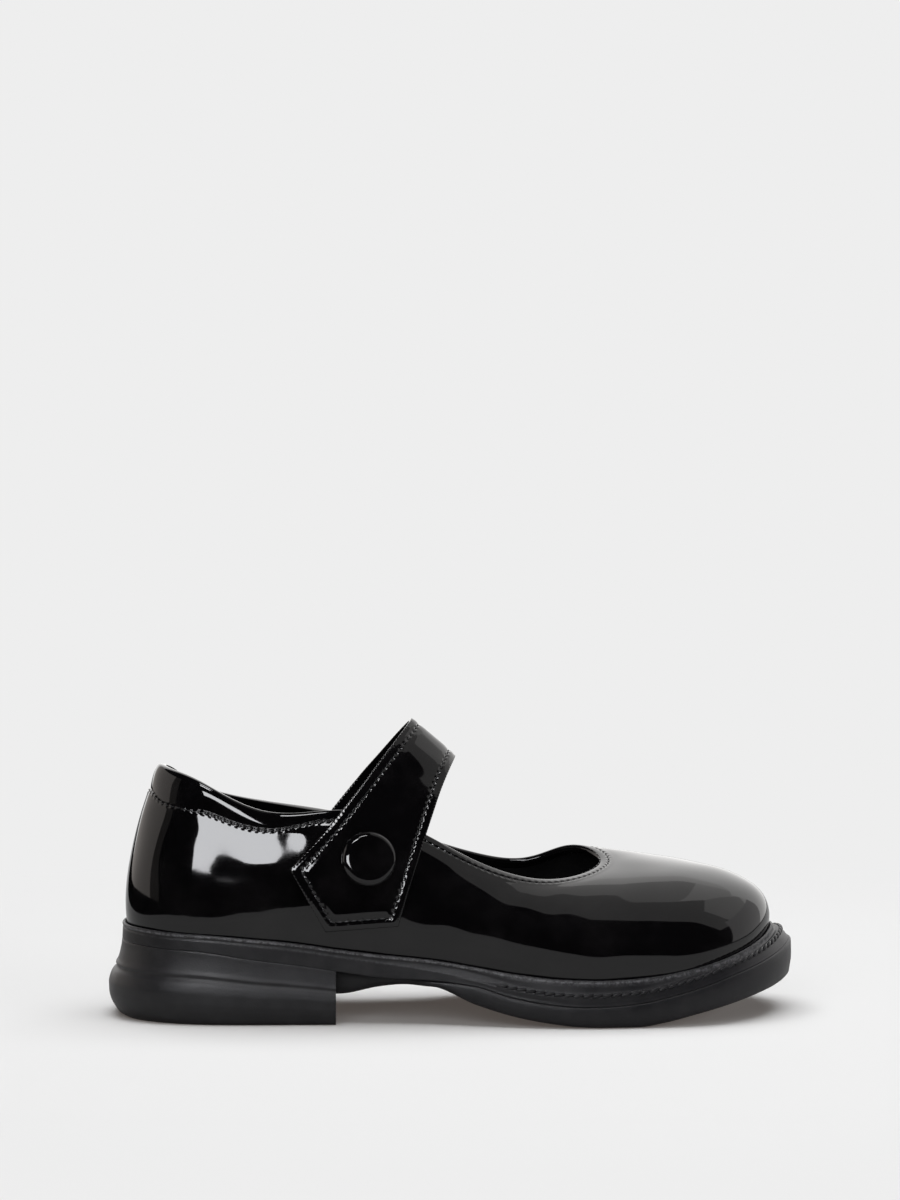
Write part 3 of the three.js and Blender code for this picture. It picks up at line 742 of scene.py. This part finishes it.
def makeUpper():
    turn = np.arange(upper["steps"]) / upper["steps"]
    below = upperRows(turn)
    base = columnPoints(turn, below)
    normals = gridNormals(base)
    normals *= np.sign((normals * (base - base.mean((0, 1)))).sum(-1).mean())
    relief = upperRelief(np.broadcast_to(turn, below.shape), below, base)
    outer = base + normals * relief[..., None]
    fold, step = upper["foldDepth"], upper["foldStep"]
    past = np.linspace(0, 1, upper["innerRows"])[:, None] * (below[-1] - fold - step)
    innerBelow = np.concatenate([np.linspace(0, fold, 9)[:, None] * np.ones(turn.shape), fold + step + past])
    innerBase = columnPoints(turn, innerBelow)
    innerNormals = gridNormals(innerBase)
    innerNormals *= np.sign((innerNormals * normals[0]).sum(-1).mean())
    puff = 0.5 * collarShare(turn) * np.sin(math.pi * innerBelow / (2 * fold))
    deep = np.where(innerBelow < fold + 0.1, sizes["wall"] + step + puff, upper["leather"])
    inner = innerBase - innerNormals * deep[..., None]
    inner[-1, :, 2] = outer[-1, :, 2]
    middle, half = (outer[0] + inner[0]) / 2, (outer[0] - inner[0]) / 2
    reach = np.linalg.norm(half, axis=1, keepdims=True)
    away = unit(outer[0] - outer[1])
    rim = [middle + half * math.cos(a) + away * reach * 0.85 * math.sin(a)
           for a in np.linspace(0, math.pi, upper["rimRows"] + 2)[1:-1]]
    rows = np.concatenate([outer[::-1], np.array(rim), inner])
    faces = gridFaces(len(rows), upper["steps"], closedRows=True)
    piece = makeMesh("upper_leather", rows, faces)
    along, across = seamPlaces(turn, below)
    away = (turn > 0.008) & (turn < 0.992)  # from where the row starts and ends
    fill = np.zeros((len(rows) - len(outer), len(turn)))

    def whole(values):
        return np.concatenate([values, fill])

    addAttributes(piece, seamAlong=whole(along[::-1]), seamAcross=whole(across[::-1]),
                  seamWeight=whole(np.ones(below.shape) * away))
    return dress(piece, patentMaterial, "patent_leather", "upper")


def seamPlaces(turn, below):  # stitches run so far round the edge, and mm below or above their row
    ring = np.linspace(0, 1, 801)
    path = outerPath(ring, stitchPlace(ring))[0]
    run = runAlong(path) / stitches["upper"]["pitch"]
    along = np.broadcast_to(np.interp(turn, ring, run), below.shape)
    return along, below - stitchPlace(turn)[None, :]


def outerPath(turn, below, lift=0.0):  # points and normals on the finished outer face
    turn = np.asarray(turn)
    three = np.stack([below - 0.25, below, below + 0.25])
    base = columnPoints(turn, three)
    normals = gridNormals(base, closedAcross=False)
    outside = np.sign((normals[1] * outwards(topEdgePoint, turn)).sum(-1).mean())
    relief = upperRelief(np.broadcast_to(turn, three.shape), three, base)
    points = base + normals * outside * relief[..., None]
    return points[1] + normals[1] * outside * lift, normals[1] * outside


makeUpper()
print("upper made")

liningLook = {"steps": 288, "rows": 40, "padding": 1.3, "padDepth": 21, "start": 2.6, "waves": 0.03}


def makeLiningPiece():
    steps = liningLook["steps"]
    turn = np.arange(steps) / steps
    start = liningLook["start"]
    share = np.linspace(0, 1, liningLook["rows"])[:, None]
    below = start + share * (columnLengths(turn) - start - 0.4)[None, :]
    base = columnPoints(turn, below)
    normals = gridNormals(base)
    normals *= np.sign((normals[0] * outwards(topEdgePoint, turn)).sum(-1).mean())
    pad = np.sin(math.pi * np.clip((below - start) / liningLook["padDepth"], 0, 1))
    pad = liningLook["padding"] * collarShare(turn) * pad + liningLook["waves"] * leatherWaves(base)
    face = base - normals * (sizes["wall"] + 0.02 + pad)[..., None]
    back = base - normals * (upper["leather"] + 0.08)
    rows = np.concatenate([face, back[::-1]])
    piece = makeMesh("upper_lining", rows, gridFaces(len(rows), steps, closedRows=True))
    return dress(piece, liningMaterial, "lining", "upper")


makeLiningPiece()
print("lining made")

sole = {
    "treadDepth": 1.3,      # the edge stands so far below the forefoot's middle
    "heelTreadDepth": 1.25,
    "foreStarts": (49, 60),
    "toeRise": 0.9,
    "toeStarts": (70, 92),
    # how strongly the painted highlight of the lip's bright lines is laid on each ring
    "wear": (0, 0.06, 0.26, 0.55, 0.2, 0.03, 0.14, 0.34, 0.1, 0, 0, 0.03, 0.06, 0.03),  # ring by ring
}


def blendIn(x):  # 0 at the heel and waist, 1 at the forefoot
    return smoothStep(*sole["foreStarts"], alongShare(x))


def sideRing(out, drop, fore=None):  # a ring from the feather line; fore gives other places at the forefoot
    def ring(x, z):
        values = {key: curve(alongShare(x)) for key, curve in side.items() if key != "along"}

        def placed(pair):
            return [part(values) if callable(part) else part + 0 * x for part in pair]

        here = placed((out, drop))
        if fore:
            share = blendIn(x)
            here = [a * (1 - share) + b * share for a, b in zip(here, placed(fore))]
        return here[0], z - here[1]
    return ring


def lipRing(out, drop):  # stands higher round the toe
    base = sideRing(out, drop)

    def ring(x, z):
        away, height = base(x, z)
        return away, height + sole["toeRise"] * smoothStep(*sole["toeStarts"], alongShare(x))
    return ring


def ridge(outMore, dropMore):
    return lambda v: v["ridgeOut"] + outMore, lambda v: v["ridgeDrop"] + dropMore


def wallAt(share, outMore=0.0, dropMore=0.0):
    return (lambda v: v["ridgeOut"] + share * (v["wallOut"] - v["ridgeOut"]) + outMore,
            lambda v: v["ridgeDrop"] + share * (v["wallDrop"] - v["ridgeDrop"]) + dropMore)


def gully(share, sink):  # between the lip's groove and the ridge
    return (lambda v: 2.0 + share * (v["ridgeOut"] - 1.0 - 2.0),
            lambda v: 0.15 + share * (v["ridgeDrop"] - 0.45 - 0.15) + sink)


def makeMidsole():
    rings = [
        lipRing(0.3, 0.3), lipRing(0.5, -0.1), lipRing(0.62, -0.7), lipRing(0.85, -1.0),
        lipRing(1.15, -1.1), lipRing(1.5, -0.95), lipRing(1.72, -0.6), lipRing(1.8, -0.15),
        sideRing(1.62, 0.2, gully(0, 0.15)),
        sideRing(1.45, 0.5, gully(0.3, 0.35)), sideRing(1.45, 0.8, gully(0.65, 0.3)),
        sideRing(*ridge(-0.15, -0.3), gully(1.0, 0.0)),
        sideRing(*ridge(0, 0), ridge(-0.7, -0.25)),
        sideRing(*wallAt(0.08), ridge(-0.45, 0.1)),
        sideRing(*wallAt(0.16), ridge(0.05, 0.25)),
        sideRing(*wallAt(0.24), ridge(0.3, 0.45)),
        sideRing(*wallAt(0.32), ridge(0.45, 0.9)),
        sideRing(*wallAt(0.5), wallAt(0.5, 0.05)),
        sideRing(*wallAt(0.7), wallAt(0.7, -0.15)),
        sideRing(*wallAt(0.86), wallAt(0.86, -0.05)),
        sideRing(*wallAt(0.96, 0, 0), wallAt(0.95, 0, 0)),
        sideRing(*wallAt(1, -0.02, -0.15), wallAt(1, -0.2)),
        sideRing(*wallAt(1, -0.18, 0.0), wallAt(1, -1.0, 0.03)),
    ]
    piece = ringPiece("midsole_rubber", rings)
    # painted highlight of the lip lines, one value for every point of a ring
    wear = sole["wear"] + (0,) * (len(rings) - len(sole["wear"]))
    addAttributes(piece, wear=np.repeat(wear, len(piece.data.vertices) // len(rings)))
    return dress(piece, soleMaterial, "midsole_rubber", "midsole")


def soleTop(x, z):
    return z - side["wallDrop"](alongShare(x))


def soleEdge(x):
    return side["edgeOut"](alongShare(x))


def soleFloor(x):
    return side["floor"](alongShare(x))


def makeOutsole():
    def belowTop(inset, drop):
        return lambda x, z: (soleEdge(x) - inset, soleTop(x, z) - drop)

    def level(share, inset):
        return lambda x, z: (soleEdge(x) - inset, soleFloor(x) + share * (soleTop(x, z) - soleFloor(x)))

    def aboveFloor(inset, rise):
        return lambda x, z: (soleEdge(x) - inset, soleFloor(x) + rise)

    piece = ringPiece("outsole_rubber", [
        belowTop(2.6, -0.3), belowTop(0.9, -0.02), belowTop(0.35, 0.2), belowTop(0.12, 0.6),
        level(0.75, 0), level(0.6, -0.05), level(0.45, 0.05), level(0.32, 0.3),
        aboveFloor(0.8, 1.5), aboveFloor(1.5, 0.7), aboveFloor(2.5, 0.2), aboveFloor(3.6, 0),
        aboveFloor(5.6, 0), aboveFloor(5.8, 0.15), aboveFloor(6.0, sole["treadDepth"]),
    ])
    cutAway(piece, sizes["breastPlace"] + sizes["fitGap"], keepFront=True)
    return dress(piece, soleMaterial, "outsole_rubber", "outsole")


heelLook = {
    # out, share of the height
    "profile": [
        (1.2, 0), (3.4, 0.04), (5.2, 0.12), (6.6, 0.21), (7.3, 0.31), (7.4, 0.42), (6.7, 0.52), (5.6, 0.59),
        (4.3, 0.628), (4.1, 0.645), (4.5, 0.67), (3.5, 0.74), (2.75, 0.83), (2.2, 0.92), (1.95, 0.985),
        (1.75, 1),
    ],
    "flush": 1.9, "sideFlare": 0.5, "flareLength": 42, "rows": 56,
}


def makeHeel():
    outAt = openCurve([row[1] for row in heelLook["profile"]], [row[0] for row in heelLook["profile"]])

    def ringAt(share):
        def ring(x, z):
            flare = 1 + (heelLook["sideFlare"] - 1) * smoothStep(0, heelLook["flareLength"], x)
            return heelLook["flush"] + (outAt(share) - heelLook["flush"]) * flare, share * soleTop(x, z)
        return ring

    rings = [lambda x, z: (-0.5 + 0 * x, soleTop(x, z) + 0.2)]
    rings += [ringAt(share) for share in np.linspace(1, 0, heelLook["rows"])]
    rings += [lambda x, z: (-1.5 + 0 * x, 0 * x), lambda x, z: (-1.8 + 0 * x, 0 * x + 1.2)]
    piece = ringPiece("heel_rubber", rings)
    cutAway(piece, sizes["breastPlace"], keepFront=False)
    return dress(piece, heelMaterial, "outsole_rubber", "heel")


insoleRings = [(-9, 3.0), (-4.2, 3.0), (-3.2, 2.85), (-2.8, 2.3), (-2.75, 1.2), (-2.85, 0.3), (-3.3, 0)]


def makeInsole():
    rings = [(lambda x, z, o=out, h=height: (o + 0 * x, z + h)) for out, height in insoleRings]
    return dress(ringPiece("insole_sock", rings, 240), liningMaterial, "lining", "insole")


makeMidsole()
makeOutsole()
makeHeel()
makeInsole()
print("sole made")

strap = {
    # rear x, y, z and front x, y, z of the inner face; the first four rows lie on the upper
    "rows": [
        (83, 0, 35.9, 110.6, 0, 38), (69.4, 0, 59.4, 114.8, 0, 52), (78.6, 0, 68.5, 117.6, 0, 60.5),
        (87.2, 0, 78, 120.4, 0, 69), (96, -22.8, 88.5, 124, -22.8, 78.5), (104, -17, 98.5, 127.3, -16.5, 87),
        (111.8, -9.3, 107.5, 130.8, -9, 94.2), (116, 0, 112, 132.8, 0, 97.4),
        (112.6, 8.5, 107.5, 130.8, 8.5, 94.2), (105.2, 15.8, 98, 127.3, 15.5, 86.5),
        (97, 20.2, 88, 124.2, 20.2, 78), (88.6, 21.1, 77.5, 121.2, 21.4, 69), (80.5, 22, 67, 119, 22.2, 60.5),
    ],
    "rowsOnUpper": 3,
    "gap": 0.6,
    "border": 2.05,      # thickness of the folded border
    "panelRise": 0.2,
    "panelInset": (3.7, 6.5),
    "stitchInset": 3.4,
    "groove": (0.34, 0.5),       # depth, half width
    "puff": (0.16, 1.9, 0.9),    # height, place from the edge, half width
    "waves": 0.035,
    "edgeRoll": 0.8,
    "stepsAlong": 26,    # to a row
    "stepsAcross": 84,
    "softCorner": 0.28,
}


def strapGrid(places, shares):  # points of the inner face
    rows = np.array(strap["rows"], float)
    on = strap["rowsOnUpper"] + 1
    rows[:on, 1] = upperSide(rows[:on, 0], rows[:on, 2]) - strap["gap"]
    rows[:on, 4] = upperSide(rows[:on, 3], rows[:on, 5]) - strap["gap"]
    numbers = np.arange(len(rows))
    point = [rows[0, k] + places * (rows[1, k] - rows[0, k]) for k in range(6)]  # straight in the pointed end
    bent = [openCurve(numbers[1:], rows[1:, k])(places) for k in range(6)]
    ends = np.stack([np.where(places < 1, point[k], bent[k]) for k in range(6)], -1)
    rear, front = ends[:, None, :3], ends[:, None, 3:]
    points = rear + (front - rear) * shares[None, :, None]
    low = places <= strap["rowsOnUpper"]
    straight = points[low][-1, :, 1].copy()
    points[low, :, 1] = upperSide(points[low, :, 0], points[low, :, 2]) - strap["gap"]
    bow = points[low][-1, :, 1] - straight  # the upper's roundness dies out above it
    fade = 1 - smoothStep(strap["rowsOnUpper"], strap["rowsOnUpper"] + 1.3, places[~low])
    points[~low, :, 1] += fade[:, None] * bow[None, :]
    return points


def edgeDistance(points, lines):  # softened distance to the nearest of several lines
    total = 0
    for line in lines:
        gaps = np.stack([np.linalg.norm(points - spot, axis=-1) for spot in line])
        total = total + np.exp(-gaps.min(0) / strap["softCorner"])
    return np.maximum(-strap["softCorner"] * np.log(total), 0)


def makeStrap():
    last = len(strap["rows"]) - 1
    places = np.concatenate([
        np.linspace(0, 0.12, 8, endpoint=False), np.linspace(0.12, 1, 50, endpoint=False),
        np.linspace(1, last, (last - 1) * strap["stepsAlong"] + 1),
    ])
    t = np.linspace(-1, 1, strap["stepsAcross"])
    shares = 0.5 + 0.5 * (0.72 * t + 0.28 * np.sin(t * math.pi / 2))
    inner = strapGrid(places, shares)
    normals = -gridNormals(inner, closedAcross=False)
    normals *= -np.sign(normals[:, :, 1][places < 3].mean())
    lower = places <= 1
    lines = [inner[lower, 0], inner[~lower, 0], inner[:, -1], inner[0, :]]
    away = edgeDistance(inner, [line[::3] for line in lines])
    roll = np.clip(1 - away / strap["edgeRoll"], 0, 1)
    rounded = 1 - np.sqrt(np.maximum(1 - roll ** 2, 0))
    inset = strap["stitchInset"]
    rise = strap["border"] + strap["panelRise"] * smoothStep(*strap["panelInset"], away)
    rise -= strap["edgeRoll"] * rounded
    sunk, width = strap["groove"]
    rise -= sunk * bump(away, inset, width)
    height, place, width = strap["puff"]
    rise += height * bump(away, place, width)
    rise += strap["waves"] * leatherWaves(inner) * smoothStep(0, 8, away)
    outer = inner + normals * rise[..., None]
    under = inner + normals * (0.5 * rounded)[..., None]
    loops = np.concatenate([under, outer[:, ::-1]], 1)
    across = loops.shape[1]
    faces = gridFaces(len(loops), across)
    for start in (0, (len(loops) - 1) * across):
        end = start + across - 1
        faces += [[start + k, start + k + 1, end - 1 - k, end - k] for k in range(across // 2 - 1)]
    piece = makeMesh("strap_leather", loops, faces)
    rear, front, rearNormals, frontNormals = [], [], [], []
    for i in range(len(places)):
        if away[i].max() < inset or places[i] > last - 1.4:
            continue
        peak = int(away[i].argmax())
        fromRear, fromFront = np.arange(peak + 1), np.arange(len(t) - 1, peak - 1, -1)
        for found, foundNormals, way in ((rear, rearNormals, fromRear), (front, frontNormals, fromFront)):
            along = np.interp(inset, away[i][way], way)
            k = int(min(along, len(t) - 2))
            f = along - k
            found.append(outer[i, k] * (1 - f) + outer[i, k + 1] * f)
            foundNormals.append(normals[i, k])
    path = np.array(rear[::-1] + front)
    run = runAlong(path) / stitches["strap"]["pitch"]
    near = np.abs(away - inset) < 2
    along = np.zeros(away.shape)
    along[near] = [run[np.linalg.norm(path - spot, axis=1).argmin()] for spot in outer[near]]

    def whole(values):
        return np.concatenate([np.zeros(away.shape), values[:, ::-1]], 1)

    addAttributes(piece, seamAlong=whole(along), seamAcross=whole(away - inset), seamWeight=whole(near * 1.0))
    dress(piece, patentMaterial, "patent_leather", "strap")
    return path, np.array(rearNormals[::-1] + frontNormals)


strapPath, strapNormals = makeStrap()

button = {
    "x": 99.4, "z": 62.6, "radius": 10.4, "height": 3.6, "steps": 96,
    # share of the radius, share of the height
    "profile": [
        (0, 0), (0.93, 0), (0.985, 0.08), (1, 0.22), (0.995, 0.38), (0.97, 0.55), (0.93, 0.7),
        (0.88, 0.82), (0.82, 0.9), (0.74, 0.945), (0.6, 0.972), (0.4, 0.99), (0.2, 0.998), (0, 1),
    ],
}


def makeButton():
    span = button["radius"] / 3
    xs = button["x"] + span * np.array([0, 1, -1, 0, 0])
    zs = button["z"] + span * np.array([0, 0, 0, 1, -1])
    spots = np.stack([xs, upperSide(xs, zs), zs], -1)
    alongX, alongZ = unit(spots[1] - spots[2]), unit(spots[3] - spots[4])
    normal = unit(np.cross(alongX, alongZ))
    alongZ = np.cross(normal, alongX)
    foot = spots[0] + normal * (strap["gap"] + strap["border"] + strap["panelRise"])
    profile = button["profile"]
    run = np.linspace(0, len(profile) - 1, 66)
    numbers = range(len(profile))
    radius = openCurve(numbers, [row[0] for row in profile])(run) * button["radius"]
    height = openCurve(numbers, [row[1] for row in profile])(run) * button["height"]
    height[run < 1] -= 0.3 * (1 - run[run < 1])
    steps = button["steps"]
    angle = np.arange(steps) * 2 * math.pi / steps
    ring = np.cos(angle)[:, None] * alongX + np.sin(angle)[:, None] * alongZ
    rows = [foot + normal * h + ring * r for r, h in zip(radius[1:-1], height[1:-1])]
    faces = gridFaces(len(rows), steps)
    poles = [foot + normal * height[0], foot + normal * height[-1]]
    points = np.concatenate([np.array(rows).reshape(-1, 3), poles])
    bottom, top = len(points) - 2, len(points) - 1
    lastRow = (len(rows) - 1) * steps
    faces += [[bottom, (j + 1) % steps, j] for j in range(steps)]
    faces += [[top, lastRow + j, lastRow + (j + 1) % steps] for j in range(steps)]
    return dress(makeMesh("button_covered", points, faces), patentMaterial, "patent_leather", "button")


makeButton()
print("strap and button made")

weltRun = (0.297, 0.713)  # share of the way round, from the back

def makeStitches():
    turn = np.linspace(0, 1, 400, endpoint=False)
    points, normals = outerPath(turn, stitchPlace(turn))
    rows = [stitchRow("rowUpper", points, normals, True, stitches["upper"], threadMaterial)]
    base = columnPoints(turn, np.full((1, 400), 2.0))[0]
    away = outwards(topEdgePoint, turn)
    points = base - away * (sizes["wall"] + 0.35)
    rows.append(stitchRow("rowLining", points, -away, True, stitches["lining"], threadMaterial))
    dress(joined("stitches_upper", rows), threadMaterial, "patent_leather", "upper")
    row = stitchRow("stitches_strap", strapPath, strapNormals, False, stitches["strap"], threadMaterial)
    dress(row, threadMaterial, "patent_leather", "strap")
    turn = np.linspace(*weltRun, 400)
    foot, away = featherPoint(turn), outwards(featherPoint, turn)
    share = alongShare(foot[:, 0])
    line = foot + away * (side["ridgeOut"](share) + 0.05)[:, None]
    line[:, 2] = foot[:, 2] - side["ridgeDrop"](share) + 0.05
    tilt = unit(away + np.array([0, 0, 0.75]))
    row = stitchRow("stitches_welt", line, tilt, False, stitches["welt"], heelMaterial)
    dress(row, heelMaterial, "midsole_rubber", "midsole")


makeStitches()
print("stitching made")

tread = {
    "rowGap": 6.6, "margin": 8.5,
    "lug": {"pitch": 6.6, "length": 5.0, "width": 3.8, "height": 2.6, "lift": 0.0, "slant": 0},
}


def makeTread(name, slot, node, material, edgeAt, heightAt, fromX, toX):  # rows of studs under a sole
    turn = np.linspace(0, 1, 400, endpoint=False)
    foot, away = featherPoint(turn), outwards(featherPoint, turn)
    rim = foot + away * edgeAt(foot[:, 0])[:, None]
    outer, inner = rim[turn < 0.5], rim[turn >= 0.5][::-1]
    x = np.arange(fromX, toX, 1.0)
    low = np.interp(x, outer[:, 0], outer[:, 1]) + tread["margin"]
    high = np.interp(x, inner[:, 0], inner[:, 1]) - tread["margin"]
    rows = []
    for y in np.arange(-7, 8) * tread["rowGap"]:
        inside = np.flatnonzero((y > low) & (y < high))
        for part in np.split(inside, np.flatnonzero(np.diff(inside) > 1) + 1):
            if len(part) > tread["lug"]["pitch"]:
                points = np.stack([x[part], np.full(len(part), y), heightAt(x[part])], -1)
                downwards = np.tile([0.0, 0.0, -1.0], (len(part), 1))
                rows.append(stitchRow("treadRow", points, downwards, False, tread["lug"], material))
    return dress(joined(name, rows), material, slot, node)


makeTread("tread_forefoot", "outsole_rubber", "outsole", soleMaterial, soleEdge,
          lambda x: soleFloor(x) + sole["treadDepth"], 0.49 * sizes["soleLength"], 0.97 * sizes["soleLength"])
makeTread("tread_heel", "outsole_rubber", "heel", heelMaterial, lambda x: 0 * x,
          lambda x: 0 * x + sole["heelTreadDepth"], 7, sizes["breastPlace"] - 5)
print("tread made")

setLook = {
    "paper": 0.855,                          # brightness of the paper and the backdrop
    "litFloor": (0.695, 0.704, 0.709),
    "shadeGlow": (0.075, 0.0645, 0.0585),    # warm light left in the shadows
    "mirrorShare": 0.62,
    "mirrored": (-0.36, 0.95, -0.37, 1.2),
    "lit": (-1.6, 1.6, -1.4, 1.4),
    "floorFade": (0.24, 0.42),
    "dark": 0.004,                           # the room between the cards
    "ceilingHeight": 1.6,
    "ceilingColour": (1, 0.985, 0.97),
    "ceiling": [  # bright panels over the shoe, with the dark room round them
        ("ceilingBack", 1.4, [(1.8, 1.12), (4.5, 1.12), (4.5, 6), (-2, 6), (-2, 1.6), (-1.23, 1.25)]),
        ("ceilingSide", 1.2, [(0.6, 0.22), (1, 0.35), (1.8, 1.12), (0.7, 1.17)]),
        ("ceilingNear", 0.85, [(0.3, 0.55), (0.42, 0.16), (0.6, 0.22), (0.7, 1.17), (-1.23, 1.25)]),
        ("ceilingFront", 0.46, [
            (0.3, 0.55), (0.12, 0.632), (0.12, -0.35), (0.33, -0.85), (3.5, -0.95), (3.5, -0.1),
            (1.25, -0.12), (1, 0.35), (0.42, 0.16),
        ]),
        ("paneFar", 0.9, [(1.25, -0.12), (2.4, -0.1), (4.5, 0.3), (4.5, 1.12), (1.8, 1.12), (1, 0.35)]),
    ],
    "walls": [  # azimuths, elevations, colour, strength, distance, centre
        ("backWall", (122, 212), (0, 55), (1, 0.99, 0.98), 1.6, 2.6, (0, 0, 0)),
        ("leftWall", (212, 278), (0, 34), (1, 0.93, 0.88), 0.8, 2.5, (0, 0, 0)),
        ("leftEdge", (278, 291), (0, 34), (1, 0.93, 0.88), 0.14, 2.5, (0, 0, 0)),
        ("rightWall", (84, 122), (0, 31), (1, 0.98, 0.98), 0.75, 2.4, (0, 0, 0)),
        ("softbox", (-33, -6), (13.5, 25), (0.96, 0.97, 1), 14, 0.5, (-0.085, -0.03, 0.066)),
        ("topStrip", (-32, -15), (44, 50), (0.98, 0.98, 1), 19, 1.8, (0, 0, 0)),
        ("buttonStrip", (-30, -2), (58, 66), (0.98, 0.98, 1), 14, 1.8, (0, 0, 0)),
    ],
    "lights": [  # centre, aim, width, height, power
        ("overhead", (0.1, 0.35, 2.2), (0, 0, 0), 2.6, 2.4, 70),
        ("frontFill", (-0.6, -2.0, 1.3), (0, 0, 0.05), 1.6, 1.2, 12),
        ("toeFill", (1.6, -0.9, 0.5), (0.08, 0, 0), 1.2, 0.8, 8),
    ],
}


def glow(name, colour, strength):
    f = Finish(name)
    return f.shown(f.glowing(colour, strength))


def makePaper(name, share=1.0):  # lit paper round the shoe, evenly bright further out
    f = Finish(name)
    flat = f.node("ShaderNodeVectorMath", {0: f.place(), 1: (0.62, 1, 0)}, operation="MULTIPLY").out()
    away = f.node("ShaderNodeVectorMath", {0: flat}, operation="LENGTH").out("Value")
    blend = f.spread(away, *setLook["floorFade"], 0, 1)
    lit = f.node("ShaderNodeBsdfDiffuse", {"Color": (*(share * c for c in setLook["litFloor"]), 1)}).out()
    shade = f.glowing(setLook["shadeGlow"], share)
    even = f.glowing((1, 1, 1), setLook["paper"] * share)
    both = f.node("ShaderNodeAddShader", {0: lit, 1: shade}).out()
    return f.shown(f.node("ShaderNodeMixShader", {0: blend, 1: both, 2: even}).out())


def card(name, corners, material, faces=None, camera=False, glossy=True, diffuse=False, shadow=False):
    mesh = bpy.data.meshes.new(name)
    mesh.from_pydata([tuple(c) for c in corners], [], faces or [list(range(len(corners)))])
    piece = addObject(name, mesh)
    mesh.materials.append(material)
    piece.visible_camera, piece.visible_glossy = camera, glossy
    piece.visible_diffuse, piece.visible_shadow = diffuse, shadow


def wallCard(name, azimuths, elevations, colour, strength, distance, centre):  # seen only in the gloss
    steps = 8

    def corner(turn, elevation):  # azimuth 0 is in front of the shoe, 90 beyond its toe
        a, e = math.radians(turn), math.radians(elevation)
        way = Vector((math.sin(a) * math.cos(e), -math.cos(a) * math.cos(e), math.sin(e)))
        return Vector(centre) + way * distance

    turns = [azimuths[0] + (azimuths[1] - azimuths[0]) * k / steps for k in range(steps + 1)]
    corners = [corner(turn, elevations[0]) for turn in turns]
    corners += [corner(turn, elevations[1]) for turn in reversed(turns)]
    end = len(corners) - 1
    faces = [[k, k + 1, end - 1 - k, end - k] for k in range(steps)]
    card(name, corners, glow(name + "Glow", colour, strength), faces)


def areaLight(name, centre, aim, width, height, power):
    data = bpy.data.lights.new(name, "AREA")
    data.shape, data.size, data.size_y, data.energy = "RECTANGLE", width, height, power
    light = addObject(name, data)
    light.location = centre
    light.rotation_euler = (Vector(aim) - Vector(centre)).to_track_quat("-Z", "Y").to_euler()
    light.visible_glossy = light.visible_camera = False


def rectangle(x0, x1, y0, y1, z):
    return [(x0, y0, z), (x1, y0, z), (x1, y1, z), (x0, y1, z)]


def makeRoom():  # dark in the gloss, as bright as the paper behind the shoe
    world = bpy.data.worlds.new("studio")
    bpy.context.scene.world = world
    world.use_nodes = True
    tree = world.node_tree
    tree.nodes.clear()
    seen = addNode(tree, "ShaderNodeLightPath")["Is Camera Ray"]
    dark, bright = ((setLook[key],) * 3 + (1,) for key in ("dark", "paper"))
    mix = addNode(tree, "ShaderNodeMix", {0: seen, 6: dark, 7: bright}, data_type="RGBA")[2]
    back = addNode(tree, "ShaderNodeBackground", {"Color": mix})[0]
    addNode(tree, "ShaderNodeOutputWorld", {"Surface": back})


def makeSet():
    bpy.context.scene.view_settings.view_transform = "Standard"
    lit, mirrored = rectangle(*setLook["lit"], 0), rectangle(*setLook["mirrored"], 0.00002)
    card("floorLit", lit, makePaper("paper"), camera=True, glossy=False, diffuse=True, shadow=True)
    card("floorMirrored", mirrored, makePaper("paperMirrored", setLook["mirrorShare"]))
    far = glow("paperFar", (1, 1, 1), setLook["paper"])
    card("floorFar", rectangle(-30, 30, -30, 30, -0.0006), far, camera=True, glossy=False)
    makeRoom()
    for wall in setLook["walls"]:
        wallCard(*wall)
    for name, brightness, outline in setLook["ceiling"]:
        corners = [(x, y, setLook["ceilingHeight"]) for x, y in outline]
        card(name, corners, glow(name + "Glow", setLook["ceilingColour"], brightness))
    for light in setLook["lights"]:
        areaLight(*light)


cameraLook = {"place": (-0.0964, -1.8292, 0.3001), "azimuth": -3.0, "pitch": 4.402, "lens": 143.19}


def makeCamera():
    data = bpy.data.cameras.new("camera")
    data.lens, data.sensor_width = cameraLook["lens"], 36
    data.clip_end = 100
    camera = addObject("camera", data)
    camera.location = cameraLook["place"]
    a, p = math.radians(-cameraLook["azimuth"]), math.radians(cameraLook["pitch"])
    forward = Vector((math.sin(a) * math.cos(p), math.cos(a) * math.cos(p), -math.sin(p)))
    camera.rotation_euler = forward.to_track_quat("-Z", "Y").to_euler()
    bpy.context.scene.camera = camera


makeSet()
makeCamera()
print("set, lights and camera made")
